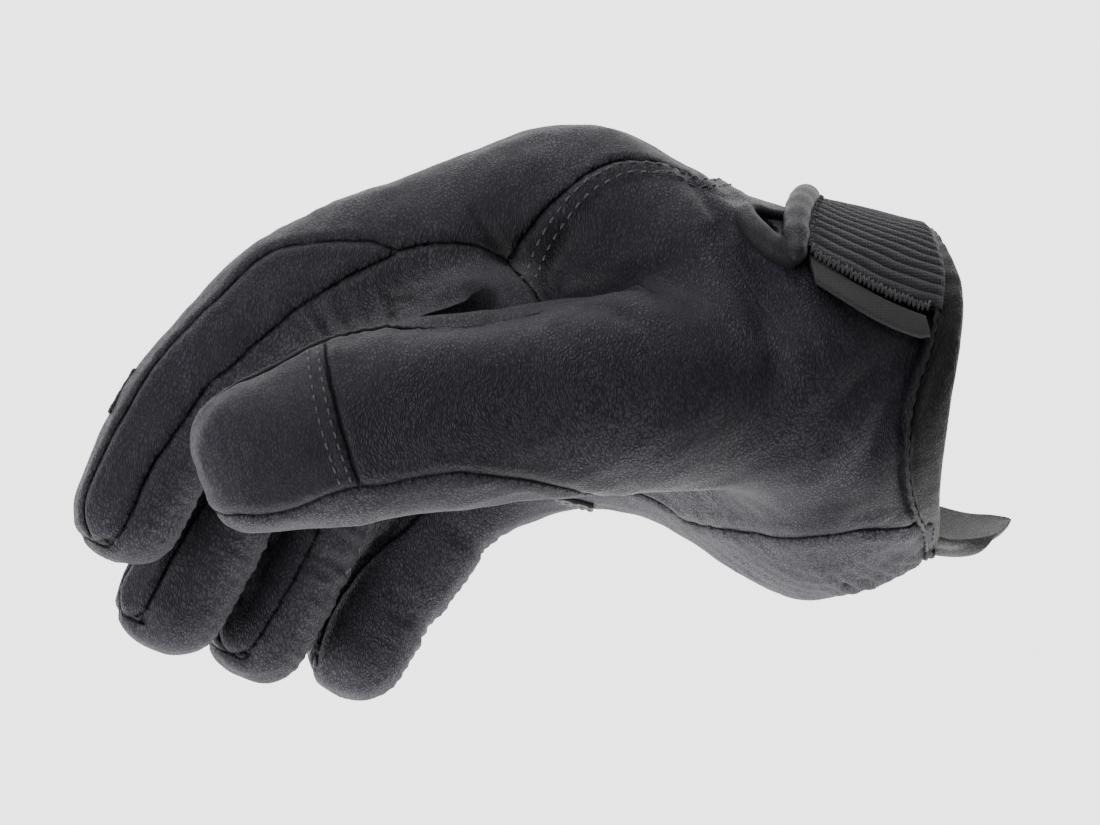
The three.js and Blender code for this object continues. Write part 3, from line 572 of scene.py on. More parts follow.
# folds seen from the thumb side: the line's x and z, then half-width and depth (below 0 is a ridge)
folds = [
    dict(line=[(-75.5, 15.7), (-68.7, 17.8), (-63.6, 19.4), (-55.9, 22.1), (-52.2, 25.1)], wide=1.6,
         depth=1.3),
    dict(line=[(-69.9, 15.4), (-65.6, 14.7), (-61.8, 12.4), (-59.8, 10)], wide=1.2, depth=1.4),
    dict(line=[(-71.4, 29.7), (-74.2, 24.2), (-76, 18.7), (-76.9, 15.6)], wide=2.4, depth=2.3),
    dict(line=[(-106, 13.5), (-99.9, 15.1), (-90.7, 16), (-83.4, 16.8), (-75, 15)], wide=5.5, depth=4.2),
    dict(line=[(-90.8, 33.3), (-88.1, 29.3), (-85, 24.9), (-83.7, 22.1)], wide=1.0, depth=1.0),
    dict(line=[(-92.8, 36), (-88.1, 29.3), (-83.7, 22.1)], wide=3.2, depth=0.5),
    dict(line=[(-46.9, 30.7), (-43.2, 23.8), (-37.8, 15.7), (-35.2, 8.2), (-34.1, -1.5)], wide=3.0,
         depth=2.6),
    dict(line=[(-11.2, 7.1), (-18.7, 0.7), (-25.1, -5.7), (-27.3, -12)], wide=2.7, depth=1.35),
    dict(line=[(-11.8, 0.7), (-15.4, -7.9), (-18.7, -16.4)], wide=2.3, depth=1.1),
    dict(line=[(-66, 23), (-60, 18), (-50, 15)], wide=5.0, depth=-0.7),
]
# along a finger, depth and half-width of the creases on its palm side
palmCreases = [(0.47, 0.8, 1.3), (0.505, 0.5, 0.9), (0.735, 0.8, 1.2), (0.77, 0.4, 0.8)]
# hollows that get painted shade, a darkening of the colour where little light gets in: middle x and z, reach
# along and across, share of the light kept out
hollows = [(-84, 19, 26, 15, 0.99), (-106, 15.5, 24, 13, 0.95)]
# x | z of the thumb's upper edge, below which the painted shade of the hollows ends
thumbTop = [(-140, -3.6), (-127.9, 3.2), (-116.8, 8.4), (-100.1, 13.4), (-89, 14.7), (-76.9, 16.2), (-60, 17)]
# fine gathers beside the thumb: middle x and z, reach, pitch, depth
gathers = [(-100, 20, 11, 2.5, 0.32), (-112, 13, 8, 2.3, 0.22), (-83, 20, 6, 2.4, 0.2)]


def foldRelief(p, normals):
    total = np.zeros(len(p))
    facing = ease((0.35 - normals[:, 1]) / 0.5) * ease(-p[:, 1] / 6)
    for fold in folds:
        line = evenly(np.pad(np.array(fold["line"], float), ((0, 0), (0, 1))), 40)[0][:, :2]
        gap = np.linalg.norm(p[:, None, [0, 2]] - line[None], axis=2)
        taper = np.sin(np.pi * np.clip((gap.argmin(1) + 0.5) / len(line), 0, 1)) ** 0.6
        total -= fold["depth"] * taper * facing * np.exp(-(gap.min(1) / fold["wide"]) ** 2)
    for x, z, reach, pitch, depth in gathers:
        gap = np.hypot(p[:, 0] - x, p[:, 2] - z)
        wave = np.sin((p[:, 0] - x) * (1 + (z - p[:, 2]) / 60) * 2 * np.pi / pitch + ripples(p, 7, 41))
        total += depth * wave * bump(gap / reach) * facing
    return total


def reliefOf(p, normals, places, hides):
    # Height over the plain surface: a sunk line with a lip at each seam, folds, finger creases and waves.
    distance = seamGap(hides)
    label = firstOf(hides)[0]
    height = -relief["seamDepth"] * np.exp(-(distance / relief["seamWide"]) ** 2)
    pucker = 1 + 0.35 * ripples(p, 3.4, 3)
    height += relief["lip"] * pucker * np.exp(-((distance - relief["lipAt"]) / relief["lipWide"]) ** 2)
    behind = -hides["knuckle_panel"]
    height += np.where(label == len(hides),
                       relief["doubled"] * ease((5.2 - behind) / 1.2) * ease(behind / 0.6), 0)
    height += foldRelief(p, normals)
    height += relief["waves"] * ripples(p, 17, 5) + relief["creases"] * ripples(p, 5, 7, stretch=(1, 1, 1.8))
    x, turn = places["hand"][1], places["hand"][2]
    height += wristRib(x, turn) * ease((1.5 - places["hand"][0]) / 1.5)
    height -= relief["cuffGroove"] * np.exp(-((x + readTable(bandRows, turn)[0] + 1.0) / 0.8) ** 2)
    for name in fingers:
        digit = digits[name]
        off, place, around = places[name]
        own = ease((3.0 - off) / 3) * ease((place - digit["free"]) / 0.08)
        under = np.clip(1.6 * bump((around - 180) / 95), 0, 1)
        run = place * digit["length"]
        fine = np.sin(run * 2 * np.pi / relief["ribPitch"] + 0.9 * ripples(p, 11, 11))
        coarse = np.sin(run * 2 * np.pi / relief["bulgePitch"] + 1.0 * ripples(p, 12, 13))
        bend = bump((place - 0.42) / 0.16) + bump((place - 0.74) / 0.15)
        height += own * under * (relief["ribHigh"] * fine * ease((place - 0.5) / 0.1)
                                 * (1 - ease((place - 0.93) / 0.05))
                                 + relief["bulgeHigh"] * coarse * np.clip(bend, 0, 1))
        for at, depth, reach in palmCreases:
            away = ((place - at) * digit["length"] + 0.8 * ripples(p, 15, 19)) / reach
            height -= own * under * depth * np.exp(-(away ** 2))
        back = bump(((around + 180) % 360 - 180) / 60)
        stripes = np.sin(run * 2 * np.pi / relief["backPitch"])
        height += own * back * relief["backHigh"] * stripes * bump((place - 0.42) / 0.1)
    off, place, around = places["thumb"]
    run = place * digits["thumb"]["length"]
    comb = np.sin((run + 1.5 * ripples(p, 16, 17)) * 2 * np.pi / relief["combPitch"])
    height += np.where(label == 0, relief["combHigh"] * comb * ease((distance - 4.5) / 1.5), 0)
    return height


def laidOn(p, lift=0.0):
    # Points near the glove, laid on its outside with its relief and lifted off it; and the way out there.
    p = onField(np.asarray(p, float), 2)
    normals = slopeOf(p)
    places = gloveField(p)[1]
    return p + normals * (reliefOf(p, normals, places, panelDistances(places)[1]) + lift)[:, None], normals


# faces to panels
middle = points[faces].mean(1)
faceLabel = firstOf(panelDistances(gloveField(middle)[1])[0])[0]
cuff = dict(elasticFront=-27.5, elasticReach=76.0, holeX=-36.4, holeTurn=72.5, holeLong=2.4, holeWide=5.0)
faceX = places["hand"][1][faces].mean(1)
faceTurn = (places["hand"][2][faces].mean(1) + 180) % 360 - 180
faceTurn = np.where(np.ptp(places["hand"][2][faces], axis=1) > 90, 180.0, faceTurn)
onHand = places["hand"][0][faces].mean(1) < 1.5
beyond = faceX > -1.6
underElastic = (faceX > cuff["elasticFront"] + 3) & (np.abs(faceTurn) < cuff["elasticReach"] - 8)
offHoleX, offHoleTurn = faceX - cuff["holeX"], faceTurn - cuff["holeTurn"]
holed = (offHoleX / cuff["holeLong"]) ** 2 + (offHoleTurn / cuff["holeWide"]) ** 2 < 1
kept = ~(onHand & (beyond | underElastic | holed))
faces, faceLabel = faces[kept], faceLabel[kept]

# points where two panels meet are drawn into a smooth line
pairs = np.vstack([np.sort(faces[:, [k, (k + 1) % 4]], 1) for k in range(4)])
owner = np.tile(faceLabel, 4)
order = np.lexsort((owner, pairs[:, 1], pairs[:, 0]))
pairs, owner = pairs[order], owner[order]
seamEdges = pairs[1:][(pairs[1:] == pairs[:-1]).all(1) & (owner[1:] != owner[:-1])]
points = onField(relaxed(points, seamEdges, 8, 0.5))
fieldNormals = slopeOf(points)
places = gloveField(points)[1]
hides = panelDistances(places)[1]
shaped = points + fieldNormals * reliefOf(points, fieldNormals, places, hides)[:, None]
gap = np.clip(seamGap(hides), 0, 9)
# painted shade: a mask of how far the colour is darkened in the hollows above the thumb, strongest on the
# palm and back panels, kept as the hollowShade attribute
shade = np.zeros(len(points))
above = ease((points[:, 2] - readTable(thumbTop, points[:, 0])[0] + 1.2) / 1.5) * ease(-points[:, 1] / 5)
for x, z, reach, across, dimmed in hollows:
    turnAway = (points[:, 2] - z - 0.45 * (points[:, 0] - x)) / across
    shade = np.maximum(shade, dimmed * bump((points[:, 0] - x) / reach) * bump(turnAway) * above)
palmSide = np.isin(firstOf(hides)[0], [panelNames.index("palm_panel"), panelNames.index("back_panel")])
shade = np.clip(1.3 * shade, 0, 0.93) * np.where(palmSide, 1, 0.3)
closest = np.argmin([places["hand"][0]] + [places[name][0] for name in digits], 0)
runs = [places["hand"][1]] + [places[name][1] * digits[name]["length"] for name in digits]
run = np.stack(runs)[closest, np.arange(len(points))]
print("relief made")


# materials
def nodeTree(material):
    material.use_nodes = True
    tree = material.node_tree
    tree.nodes.clear()
    return tree


def place(tree, kind, inputs=(), **settings):
    # A node with its settings, and its inputs linked or set by name.
    node = tree.nodes.new(kind)
    for key, value in settings.items():
        setattr(node, key, value)
    for key, value in dict(inputs).items():
        if isinstance(value, bpy.types.NodeSocket):
            tree.links.new(value, node.inputs[key])
        else:
            node.inputs[key].default_value = value
    return node


def maths(tree, operation, a, b=0.0):
    return place(tree, "ShaderNodeMath", {0: a, 1: b}, operation=operation).outputs[0]


def ramp(tree, value, low, high, start=0.0, end=1.0):
    # Value from low to high as start to end, with a smooth step.
    return place(tree, "ShaderNodeMapRange",
                 {"Value": value, "From Min": low, "From Max": high, "To Min": start, "To Max": end},
                 interpolation_type="SMOOTHSTEP").outputs["Result"]


def newGroup(name, inputs, outputs):
    group = bpy.data.node_groups.new(name, "ShaderNodeTree")
    for title, value in inputs.items():
        socket = group.interface.new_socket(name=title, in_out="INPUT", socket_type="NodeSocketFloat")
        socket.default_value = value
    for title, kind in outputs.items():
        group.interface.new_socket(name=title, in_out="OUTPUT", socket_type="NodeSocket" + kind)
    return group, group.nodes.new("NodeGroupInput"), group.nodes.new("NodeGroupOutput")


def hideGrain():
    # Leather grain: fine cells between short creases that run one way, stronger in some places than in
    # others.
    group, given, made = newGroup("hideGrain", dict(Cells=1500.0, Depth=0.7, Creases=0.35),
                                  dict(Normal="Vector", Height="Float"))
    where = place(group, "ShaderNodeTexCoord").outputs["Object"]
    bend = place(group, "ShaderNodeTexNoise",
                 {"Vector": where, "Scale": 75.0, "Detail": 1.0}).outputs["Color"]
    pull = place(group, "ShaderNodeVectorMath", {0: bend, 1: (0.5, 0.5, 0.5)},
                 operation="SUBTRACT").outputs["Vector"]
    pull = place(group, "ShaderNodeVectorMath", {0: pull, "Scale": 0.006},
                 operation="SCALE").outputs["Vector"]
    moved = place(group, "ShaderNodeVectorMath", {0: where, 1: pull}, operation="ADD").outputs["Vector"]
    drawn = place(group, "ShaderNodeMapping",
                  {"Vector": moved, "Scale": (1.35, 1.1, 0.58), "Rotation": (0.05, 0.2, 0.0)})
    drawn = drawn.outputs["Vector"]
    cells = place(group, "ShaderNodeTexVoronoi", {"Vector": drawn, "Scale": given.outputs["Cells"]},
                  feature="DISTANCE_TO_EDGE")
    cells = ramp(group, cells.outputs["Distance"], 0.0, 0.3)
    creaseScale = maths(group, "MULTIPLY", given.outputs["Cells"], 0.6)
    noise = place(group, "ShaderNodeTexNoise",
                  {"Vector": drawn, "Scale": creaseScale, "Detail": 2.0, "Roughness": 0.5,
                   "Distortion": 0.5}).outputs["Fac"]
    creases = ramp(group, maths(group, "ABSOLUTE", maths(group, "SUBTRACT", noise, 0.5)), 0.0, 0.11)
    broad = place(group, "ShaderNodeTexNoise", {"Vector": where, "Scale": 42.0, "Detail": 2.0}).outputs["Fac"]
    broad = ramp(group, broad, 0.34, 0.66, 0.65, 1.0)
    height = maths(group, "ADD", maths(group, "MULTIPLY", cells, given.outputs["Depth"]),
                   maths(group, "MULTIPLY", creases, given.outputs["Creases"]))
    strong = maths(group, "MULTIPLY", height, broad)
    lit = place(group, "ShaderNodeBump", {"Height": strong, "Strength": 1.0, "Distance": 0.00017})
    group.links.new(lit.outputs["Normal"], made.inputs["Normal"])
    group.links.new(strong, made.inputs["Height"])
    return group


def seamMarks():
    # A thin dark line where two hides meet and a mark at each stitch, from the millimetres to the seam and
    # along it.
    group, given, made = newGroup("seamMarks", dict(Pitch=2.4), dict(Line="Float", Height="Float"))
    gap = place(group, "ShaderNodeAttribute", attribute_name="seamGap").outputs["Fac"]
    run = place(group, "ShaderNodeAttribute", attribute_name="seamRun").outputs["Fac"]
    line = ramp(group, gap, 0.04, 0.22, 0.85, 0.0)
    beat = maths(group, "PINGPONG", maths(group, "DIVIDE", run, given.outputs["Pitch"]), 0.5)
    tick = maths(group, "MULTIPLY", ramp(group, beat, 0.0, 0.2, 1.0, 0.0),
                 ramp(group, gap, 0.35, 0.95, 1.0, 0.0))
    both = maths(group, "MAXIMUM", line, maths(group, "MULTIPLY", tick, 0.6))
    hollow = ramp(group, gap, 0.0, 0.45, -1.0, 0.0)
    height = maths(group, "SUBTRACT", hollow, maths(group, "MULTIPLY", tick, 0.5))
    group.links.new(both, made.inputs["Line"])
    group.links.new(height, made.inputs["Height"])
    return group


def threadWeave():
    # Woven or knitted yarn: two crossed waves with a fuzzy edge, as a shade mask and a normal.
    group, given, made = newGroup("threadWeave", dict(Threads=900.0, Depth=0.5),
                                  dict(Normal="Vector", Shade="Float"))
    where = place(group, "ShaderNodeTexCoord").outputs["Object"]
    bend = place(group, "ShaderNodeTexNoise",
                 {"Vector": where, "Scale": 900.0, "Detail": 3.0}).outputs["Color"]
    pull = place(group, "ShaderNodeVectorMath", {0: bend, "Scale": 0.0006},
                 operation="SCALE").outputs["Vector"]
    moved = place(group, "ShaderNodeVectorMath", {0: where, 1: pull}, operation="ADD").outputs["Vector"]
    warp, weft = (place(group, "ShaderNodeTexWave", {"Vector": moved, "Scale": given.outputs["Threads"]},
                        bands_direction=way).outputs["Fac"] for way in "XZ")
    both = maths(group, "MAXIMUM", warp, weft)
    fuzz = place(group, "ShaderNodeTexNoise",
                 {"Vector": where, "Scale": 3400.0, "Detail": 2.0}).outputs["Fac"]
    both = maths(group, "MULTIPLY", both, ramp(group, fuzz, 0.3, 0.7, 0.5, 1.0))
    lit = place(group, "ShaderNodeBump", {"Height": maths(group, "MULTIPLY", both, given.outputs["Depth"]),
                                          "Strength": 1.0, "Distance": 0.00025})
    group.links.new(lit.outputs["Normal"], made.inputs["Normal"])
    group.links.new(both, made.inputs["Shade"])
    return group


grainGroup, weaveGroup, seamGroup = hideGrain(), threadWeave(), seamMarks()


def grainMaterial(name, dark, light, cells=1500.0, depth=0.7, creases=0.35, rough=(0.46, 0.62), level=0.3,
                  sheen=0.0, sewn=False):
    material = bpy.data.materials.new(name)
    tree = nodeTree(material)
    grain = place(tree, "ShaderNodeGroup", node_tree=grainGroup)
    for key, value in (("Cells", cells), ("Depth", depth), ("Creases", creases)):
        grain.inputs[key].default_value = value
    top = ramp(tree, grain.outputs["Height"], 0.1, (depth + creases) * 0.9)
    colour = place(tree, "ShaderNodeMix", {"Factor": top, "A": (*dark, 1), "B": (*light, 1)},
                   data_type="RGBA")
    colour, normal = colour.outputs["Result"], grain.outputs["Normal"]
    if sewn:
        marks = place(tree, "ShaderNodeGroup", node_tree=seamGroup)
        # painted shade: the hollowShade attribute darkens the colour towards near black in the hollows beside
        # the thumb
        paintedShade = place(tree, "ShaderNodeAttribute", attribute_name="hollowShade").outputs["Fac"]
        dim = place(tree, "ShaderNodeMix", {"Factor": paintedShade, "A": colour, "B": (0.002, 0.002, 0.002, 1)},
                    data_type="RGBA")
        lined = place(tree, "ShaderNodeMix", {"Factor": marks.outputs["Line"], "A": dim.outputs["Result"],
                                              "B": (0.004, 0.004, 0.0045, 1)}, data_type="RGBA")
        lit = place(tree, "ShaderNodeBump",
                    {"Height": marks.outputs["Height"], "Normal": normal, "Strength": 1.0,
                     "Distance": 0.0003})
        colour, normal = lined.outputs["Result"], lit.outputs["Normal"]
    shader = place(tree, "ShaderNodeBsdfPrincipled", {
        "Base Color": colour, "Roughness": ramp(tree, top, 0, 1, rough[1], rough[0]), "Normal": normal,
        "Specular IOR Level": level, "Sheen Weight": sheen, "Sheen Roughness": 0.5})
    out = place(tree, "ShaderNodeOutputMaterial")
    tree.links.new(shader.outputs["BSDF"], out.inputs["Surface"])
    return material


def clothMaterial(name, dark, light, threads=900.0, depth=0.5, rough=0.85, sheen=0.3):
    material = bpy.data.materials.new(name)
    tree = nodeTree(material)
    weave = place(tree, "ShaderNodeGroup", node_tree=weaveGroup)
    weave.inputs["Threads"].default_value = threads
    weave.inputs["Depth"].default_value = depth
    colour = place(tree, "ShaderNodeMix",
                   {"Factor": weave.outputs["Shade"], "A": (*dark, 1), "B": (*light, 1)},
                   data_type="RGBA")
    shader = place(tree, "ShaderNodeBsdfPrincipled", {
        "Base Color": colour.outputs["Result"], "Roughness": rough, "Normal": weave.outputs["Normal"],
        "Specular IOR Level": 0.3, "Sheen Weight": sheen, "Sheen Roughness": 0.4})
    out = place(tree, "ShaderNodeOutputMaterial")
    tree.links.new(shader.outputs["BSDF"], out.inputs["Surface"])
    return material


finishes = dict(
    leather=grainMaterial("goatskin", (0.0134, 0.0124, 0.018), (0.0385, 0.0358, 0.0525), sewn=True),
    palm=grainMaterial("goatskinPalm", (0.024, 0.0226, 0.0296), (0.063, 0.0597, 0.0775), rough=(0.58, 0.72),
                       sewn=True),
    cap=grainMaterial("goatskinCap", (0.0182, 0.0168, 0.0232), (0.0405, 0.0376, 0.0542), cells=1700.0,
                      depth=0.35, creases=0.25, rough=(0.55, 0.66), sewn=True),
    roll=grainMaterial("rolledHide", (0.016, 0.0153, 0.019), (0.031, 0.0298, 0.037), cells=2200.0, depth=0.25,
                       creases=0.1),
    binding=grainMaterial("bindingHide", (0.0095, 0.0092, 0.0105), (0.023, 0.0224, 0.0262), cells=1600.0,
                          depth=0.5, creases=0.3),
    elastic=clothMaterial("ribKnit", (0.02, 0.0198, 0.0225), (0.046, 0.0455, 0.052), threads=520.0,
                          depth=0.5, sheen=0.15),
    tag=clothMaterial("tagRibbon", (0.034, 0.034, 0.035), (0.058, 0.058, 0.059), threads=620.0, depth=0.2,
                      sheen=0.05),
    tab=grainMaterial("tabSuede", (0.055, 0.055, 0.056), (0.11, 0.11, 0.111), depth=0.3, creases=0.2,
                      rough=(0.65, 0.75), sheen=0.15),
    patch=clothMaterial("dottedPatch", (0.01, 0.01, 0.011), (0.024, 0.024, 0.026), threads=420.0, rough=0.7),
    thread=clothMaterial("sewingThread", (0.06, 0.06, 0.066), (0.16, 0.159, 0.172), threads=1600.0,
                         rough=0.5, sheen=0.1),
    fuzz=clothMaterial("overlockThread", (0.03, 0.03, 0.033), (0.085, 0.085, 0.094), threads=1500.0,
                       rough=0.7, sheen=0.2),
)


# meshes
def newPiece(name, points, faces, finish, node=None, slot=None):
    mesh = bpy.data.meshes.new(name)
    mesh.from_pydata((np.asarray(points) / 1000).tolist(), [], np.asarray(faces).tolist()
                     if isinstance(faces, np.ndarray) else faces)
    mesh.update()
    mesh.polygons.foreach_set("use_smooth", np.full(len(mesh.polygons), True))
    mesh.materials.append(finishes[finish])
    piece = bpy.data.objects.new(name, mesh)
    bpy.context.scene.collection.objects.link(piece)
    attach(piece, "root")
    if node:
        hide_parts(node)
    return piece


def gridFaces(rows, columns, around=False, offset=0, flip=False):
    # Four-sided faces of a grid of points, row after row.
    i, j = np.meshgrid(np.arange(rows - 1), np.arange(columns if around else columns - 1), indexing="ij")
    k = (j + 1) % columns
    quad = np.stack([i * columns + j, (i + 1) * columns + j, (i + 1) * columns + k, i * columns + k],
                    -1).reshape(-1, 4)
    return (quad[:, ::-1] if flip else quad) + offset


def shell(outer, inner, around=False):
    # A closed body between two grids of points, with a rim round its open edges.
    rows, columns = outer.shape[:2]
    count = rows * columns
    points = np.vstack([outer.reshape(-1, 3), inner.reshape(-1, 3)])
    faces = [gridFaces(rows, columns, around), gridFaces(rows, columns, around, count, True)]
    j = np.arange(columns if around else columns - 1)
    k = (j + 1) % columns
    last = (rows - 1) * columns
    faces.append(np.stack([j, k, k + count, j + count], -1))
    faces.append(np.stack([last + k, last + j, last + j + count, last + k + count], -1))
    if not around:
        i = np.arange(rows - 1) * columns
        faces.append(np.stack([i + columns, i, i + count, i + columns + count], -1))
        e = i + columns - 1
        faces.append(np.stack([e, e + columns, e + columns + count, e + count], -1))
    return points, np.vstack(faces)


def tube(line, radius, out, sides=10):
    # A round bar along a line: rings across its way, closed at both ends by a fan.
    line = np.asarray(line, float)
    way = unit(np.gradient(line, axis=0))
    out = unit(out - way * (out * way).sum(-1, keepdims=True))
    aside = np.cross(way, out)
    angle = np.linspace(0, 2 * np.pi, sides, endpoint=False)
    radius = np.broadcast_to(radius, (len(line),))[:, None, None]
    spoke = out[:, None] * np.cos(angle)[:, None] + aside[:, None] * np.sin(angle)[:, None]
    ring = line[:, None] + radius * spoke
    points = np.vstack([ring.reshape(-1, 3), line[:1], line[-1:]])
    faces = gridFaces(len(line), sides, True).tolist()
    top, j = len(line) * sides, np.arange(sides)
    k, last = (j + 1) % sides, (len(line) - 1) * sides
    faces += np.stack([np.full(sides, top), j, k], -1).tolist()
    faces += np.stack([np.full(sides, top + 1), last + k, last + j], -1).tolist()
    return points, faces


def together(parts):
    points, faces, count = [], [], 0
    for p, f in parts:
        points.append(p)
        faces += [[v + count for v in face] for face in (f.tolist() if isinstance(f, np.ndarray) else f)]
        count += len(p)
    return np.vstack(points), faces


def outwards(piece):
    # Turns the faces of a closed piece outwards.
    mesh = piece.data
    corners = np.empty(len(mesh.loops), int)
    mesh.loops.foreach_get("vertex_index", corners)
    at = np.empty(len(mesh.vertices) * 3)
    mesh.vertices.foreach_get("co", at)
    at = at.reshape(-1, 3)
    mesh.calc_loop_triangles()
    triangles = np.empty(len(mesh.loop_triangles) * 3, int)
    mesh.loop_triangles.foreach_get("vertices", triangles)
    a, b, c = (at[triangles.reshape(-1, 3)[:, k]] for k in range(3))
    if (a * np.cross(b, c)).sum() < 0:
        mesh.flip_normals()
    return piece


# the leather panels
panelFinish = {"thumb_cap": "cap", "thumb_underside": "palm", "palm_panel": "palm"}
panelSlot = {"thumb_underside": "palm_leather", "palm_panel": "palm_leather"}
for number, name in enumerate(panelNames):
    own = faces[faceLabel == number]
    used, local = np.unique(own, return_inverse=True)
    piece = newPiece(name + "_hide", shaped[used], local.reshape(-1, 4), panelFinish.get(name, "leather"),
                     name, panelSlot.get(name, "leather"))
    for title, values in (("seamGap", gap), ("seamRun", run), ("hollowShade", shade)):
        piece.data.attributes.new(title, "FLOAT", "POINT").data.foreach_set("value", values[used])
    wall = piece.modifiers.new("wall", "SOLIDIFY")
    wall.thickness = 0.0014
    wall.offset = -1
    wall.use_even_offset = False
print("panels made")

# folded binding round the cuff, with a turned lip along its front edge
binding = dict(lift=1.5, inner=-3.3, sections=26, columns=240, lipRadius=0.42, lipLift=1.5, lipSink=1.6,
               pucker=0.16)
angle = np.linspace(0, 2 * np.pi, binding["sections"], endpoint=False)
turns = np.linspace(0, 360, binding["columns"], endpoint=False)
wide = readTable(bandRows, turns)[0][:, None]


def blunt(v):
    return np.sign(v) * np.abs(v) ** 0.42


sectionX = -wide / 2 + blunt(np.cos(angle)) * wide / 2
sectionLift = mix(binding["inner"], binding["lift"], (blunt(np.sin(angle)) + 1) / 2)[None]
bandSink = binding["lipSink"] * ease((turns - 145) / 20) * ease((265 - turns) / 20)
frontDip = np.where(sectionLift > 0, 0.55 * bump((sectionX + wide - 1.5) / 1.0), 0)
sectionLift = sectionLift - bandSink[:, None] - frontDip
band = handPoint(sectionX, turns[:, None], sectionLift)
crumple = (0.12 * ripples(band.reshape(-1, 3), 4, 21)).reshape(band.shape[:2])
band += crumple[..., None] * unit(band - band.mean((0, 1)))
bandFaces = gridFaces(binding["columns"], binding["sections"], True)
wrap = gridFaces(2, binding["sections"], True)
wrap[:, [0, 3]] += (binding["columns"] - 1) * binding["sections"]
wrap[:, [1, 2]] -= binding["sections"]
lipTurns = np.linspace(200, 560, 360)
lipTurn = lipTurns % 360
lipWave = binding["pucker"] * np.sin(np.radians(lipTurns) * 34 * 2.2)
lipX = -readTable(bandRows, lipTurn)[0] - 0.15 + lipWave
lipLift = binding["lipLift"] - binding["lipSink"] * ease((lipTurn - 145) / 20) * ease((265 - lipTurn) / 20)
lip, lipOut = handPoint(lipX, lipTurns, lipLift), handPoint(lipX, lipTurns, lipLift + 5)
outwards(newPiece("cuff_binding_hide", *together([(band.reshape(-1, 3), np.vstack([bandFaces, wrap])),
                                                  tube(lip, binding["lipRadius"], lipOut - lip, 8)]),
                  "binding", "cuff_binding", "binding"))

# ribbed elastic let into the back of the wrist
elastic = dict(front=-28.5, under=0.9, reach=77.0, thick=1.3, rise=1.2, ribs=35, ribHeight=0.6, rows=60,
               columns=560)
u, v = np.meshgrid(np.linspace(0, 1, elastic["rows"]), np.linspace(0, 1, elastic["columns"]), indexing="ij")
turn = mix(-elastic["reach"], elastic["reach"], v)
x = mix(elastic["front"], elastic["under"] - readTable(bandRows, turn % 360)[0], u)
rib = np.abs(np.sin(v * elastic["ribs"] * np.pi + 0.3 * np.sin(u * 3)
                    + 0.12 * np.sin(u * 19 + v * 60))) ** 0.7
base = 0.5 + elastic["rise"] * (1 - u)
wave = 0.15 * np.sin(u * 9 + v * 25)
ribLift = elastic["ribHeight"] * rib * ease(u / 0.08) * ease((1 - u) / 0.04)
outer = handPoint(x, turn, base + elastic["thick"] + wave + ribLift)
inner = handPoint(x, turn, base)
outwards(newPiece("elastic_panel_knit", *shell(outer, inner), "elastic", "elastic_panel", "elastic"))

# rolled strap end in front of the elastic, and the piped edge of the hole below it
# turn | x, radius
rollRows = [(-80, -31.5, 2.0), (-60, -30, 2.6), (-35, -28, 2.7), (0, -27.2, 2.7), (35, -27.6, 2.8),
            (58, -30.2, 2.6), (70, -31.1, 2.5), (84, -31.3, 2.3)]
t = np.linspace(-80, 84, 170)
rollX, radius = readTable(rollRows, t)
line, above = handPoint(rollX, t, 2.6), handPoint(rollX, t, 8)
radius = radius * (1 + 0.05 * ripples(line, 6, 31)) * np.clip(1 - np.abs((t - 2) / 82) ** 60, 0.4, 1)
outwards(newPiece("strap_end_roll_hide", *tube(line, radius, above - line, 24), "roll", "strap_end_roll",
                  "leather"))
# x, turn, radius round the hole
pipeRows = np.array([
    (-32.5, 60, 1.0), (-35.6, 64, 1.25), (-38.4, 67.5, 1.6), (-40.0, 71.5, 1.9), (-40.1, 75.5, 2.1),
    (-38.7, 79.2, 2.35), (-36, 81.2, 2.6), (-33.2, 81, 2.6), (-31.2, 79.5, 2.4),
])
share = np.linspace(0, 1, len(pipeRows))
pipeX, pipeTurn, radius = readTable(np.column_stack([share, pipeRows]), np.linspace(0, 1, 90))
line, above = handPoint(pipeX, pipeTurn, 0.7), handPoint(pipeX, pipeTurn, 5)
radius = radius * (1 + 0.07 * ripples(line, 4, 33))
outwards(newPiece("notch_piping_hide", *tube(line, radius, above - line, 20), "roll", "notch_piping",
                  "binding"))

# bare ribbon tag, folded along its free edge: turns of its sewn and folded edges at its two ends
tag = dict(front=-28.9, back=-7.2, top=(77.6, 81.4), fold=(86.2, 89.0), lift=2.3, rise=0.7, gap=1.3,
           thick=0.35, rows=60)
profile = np.linspace(0, 1, 33)
over = np.clip(profile / 0.46, 0, 1) - np.clip((profile - 0.54) / 0.46, 0, 1)
loop = np.sin(np.clip((profile - 0.42) / 0.16, 0, 1) * np.pi / 2) ** 2
u = np.linspace(0, 1, tag["rows"])[:, None]
x = mix(tag["front"], tag["back"], u) + over[None] * 1.1
turnAt = mix(mix(*tag["top"], u), mix(*tag["fold"], u) - 1.2 * ease((u - 0.9) / 0.1), over[None])
outLift = tag["lift"] + tag["rise"] * over - tag["gap"] * loop + 0.22 * np.sin(u * 7) * over
outer = handPoint(x, turnAt, outLift + tag["thick"] / 2)
inner = handPoint(x, turnAt, outLift - tag["thick"] / 2)
outwards(newPiece("tag_ribbon", *shell(outer, inner), "tag", "tag", "tag_cloth"))

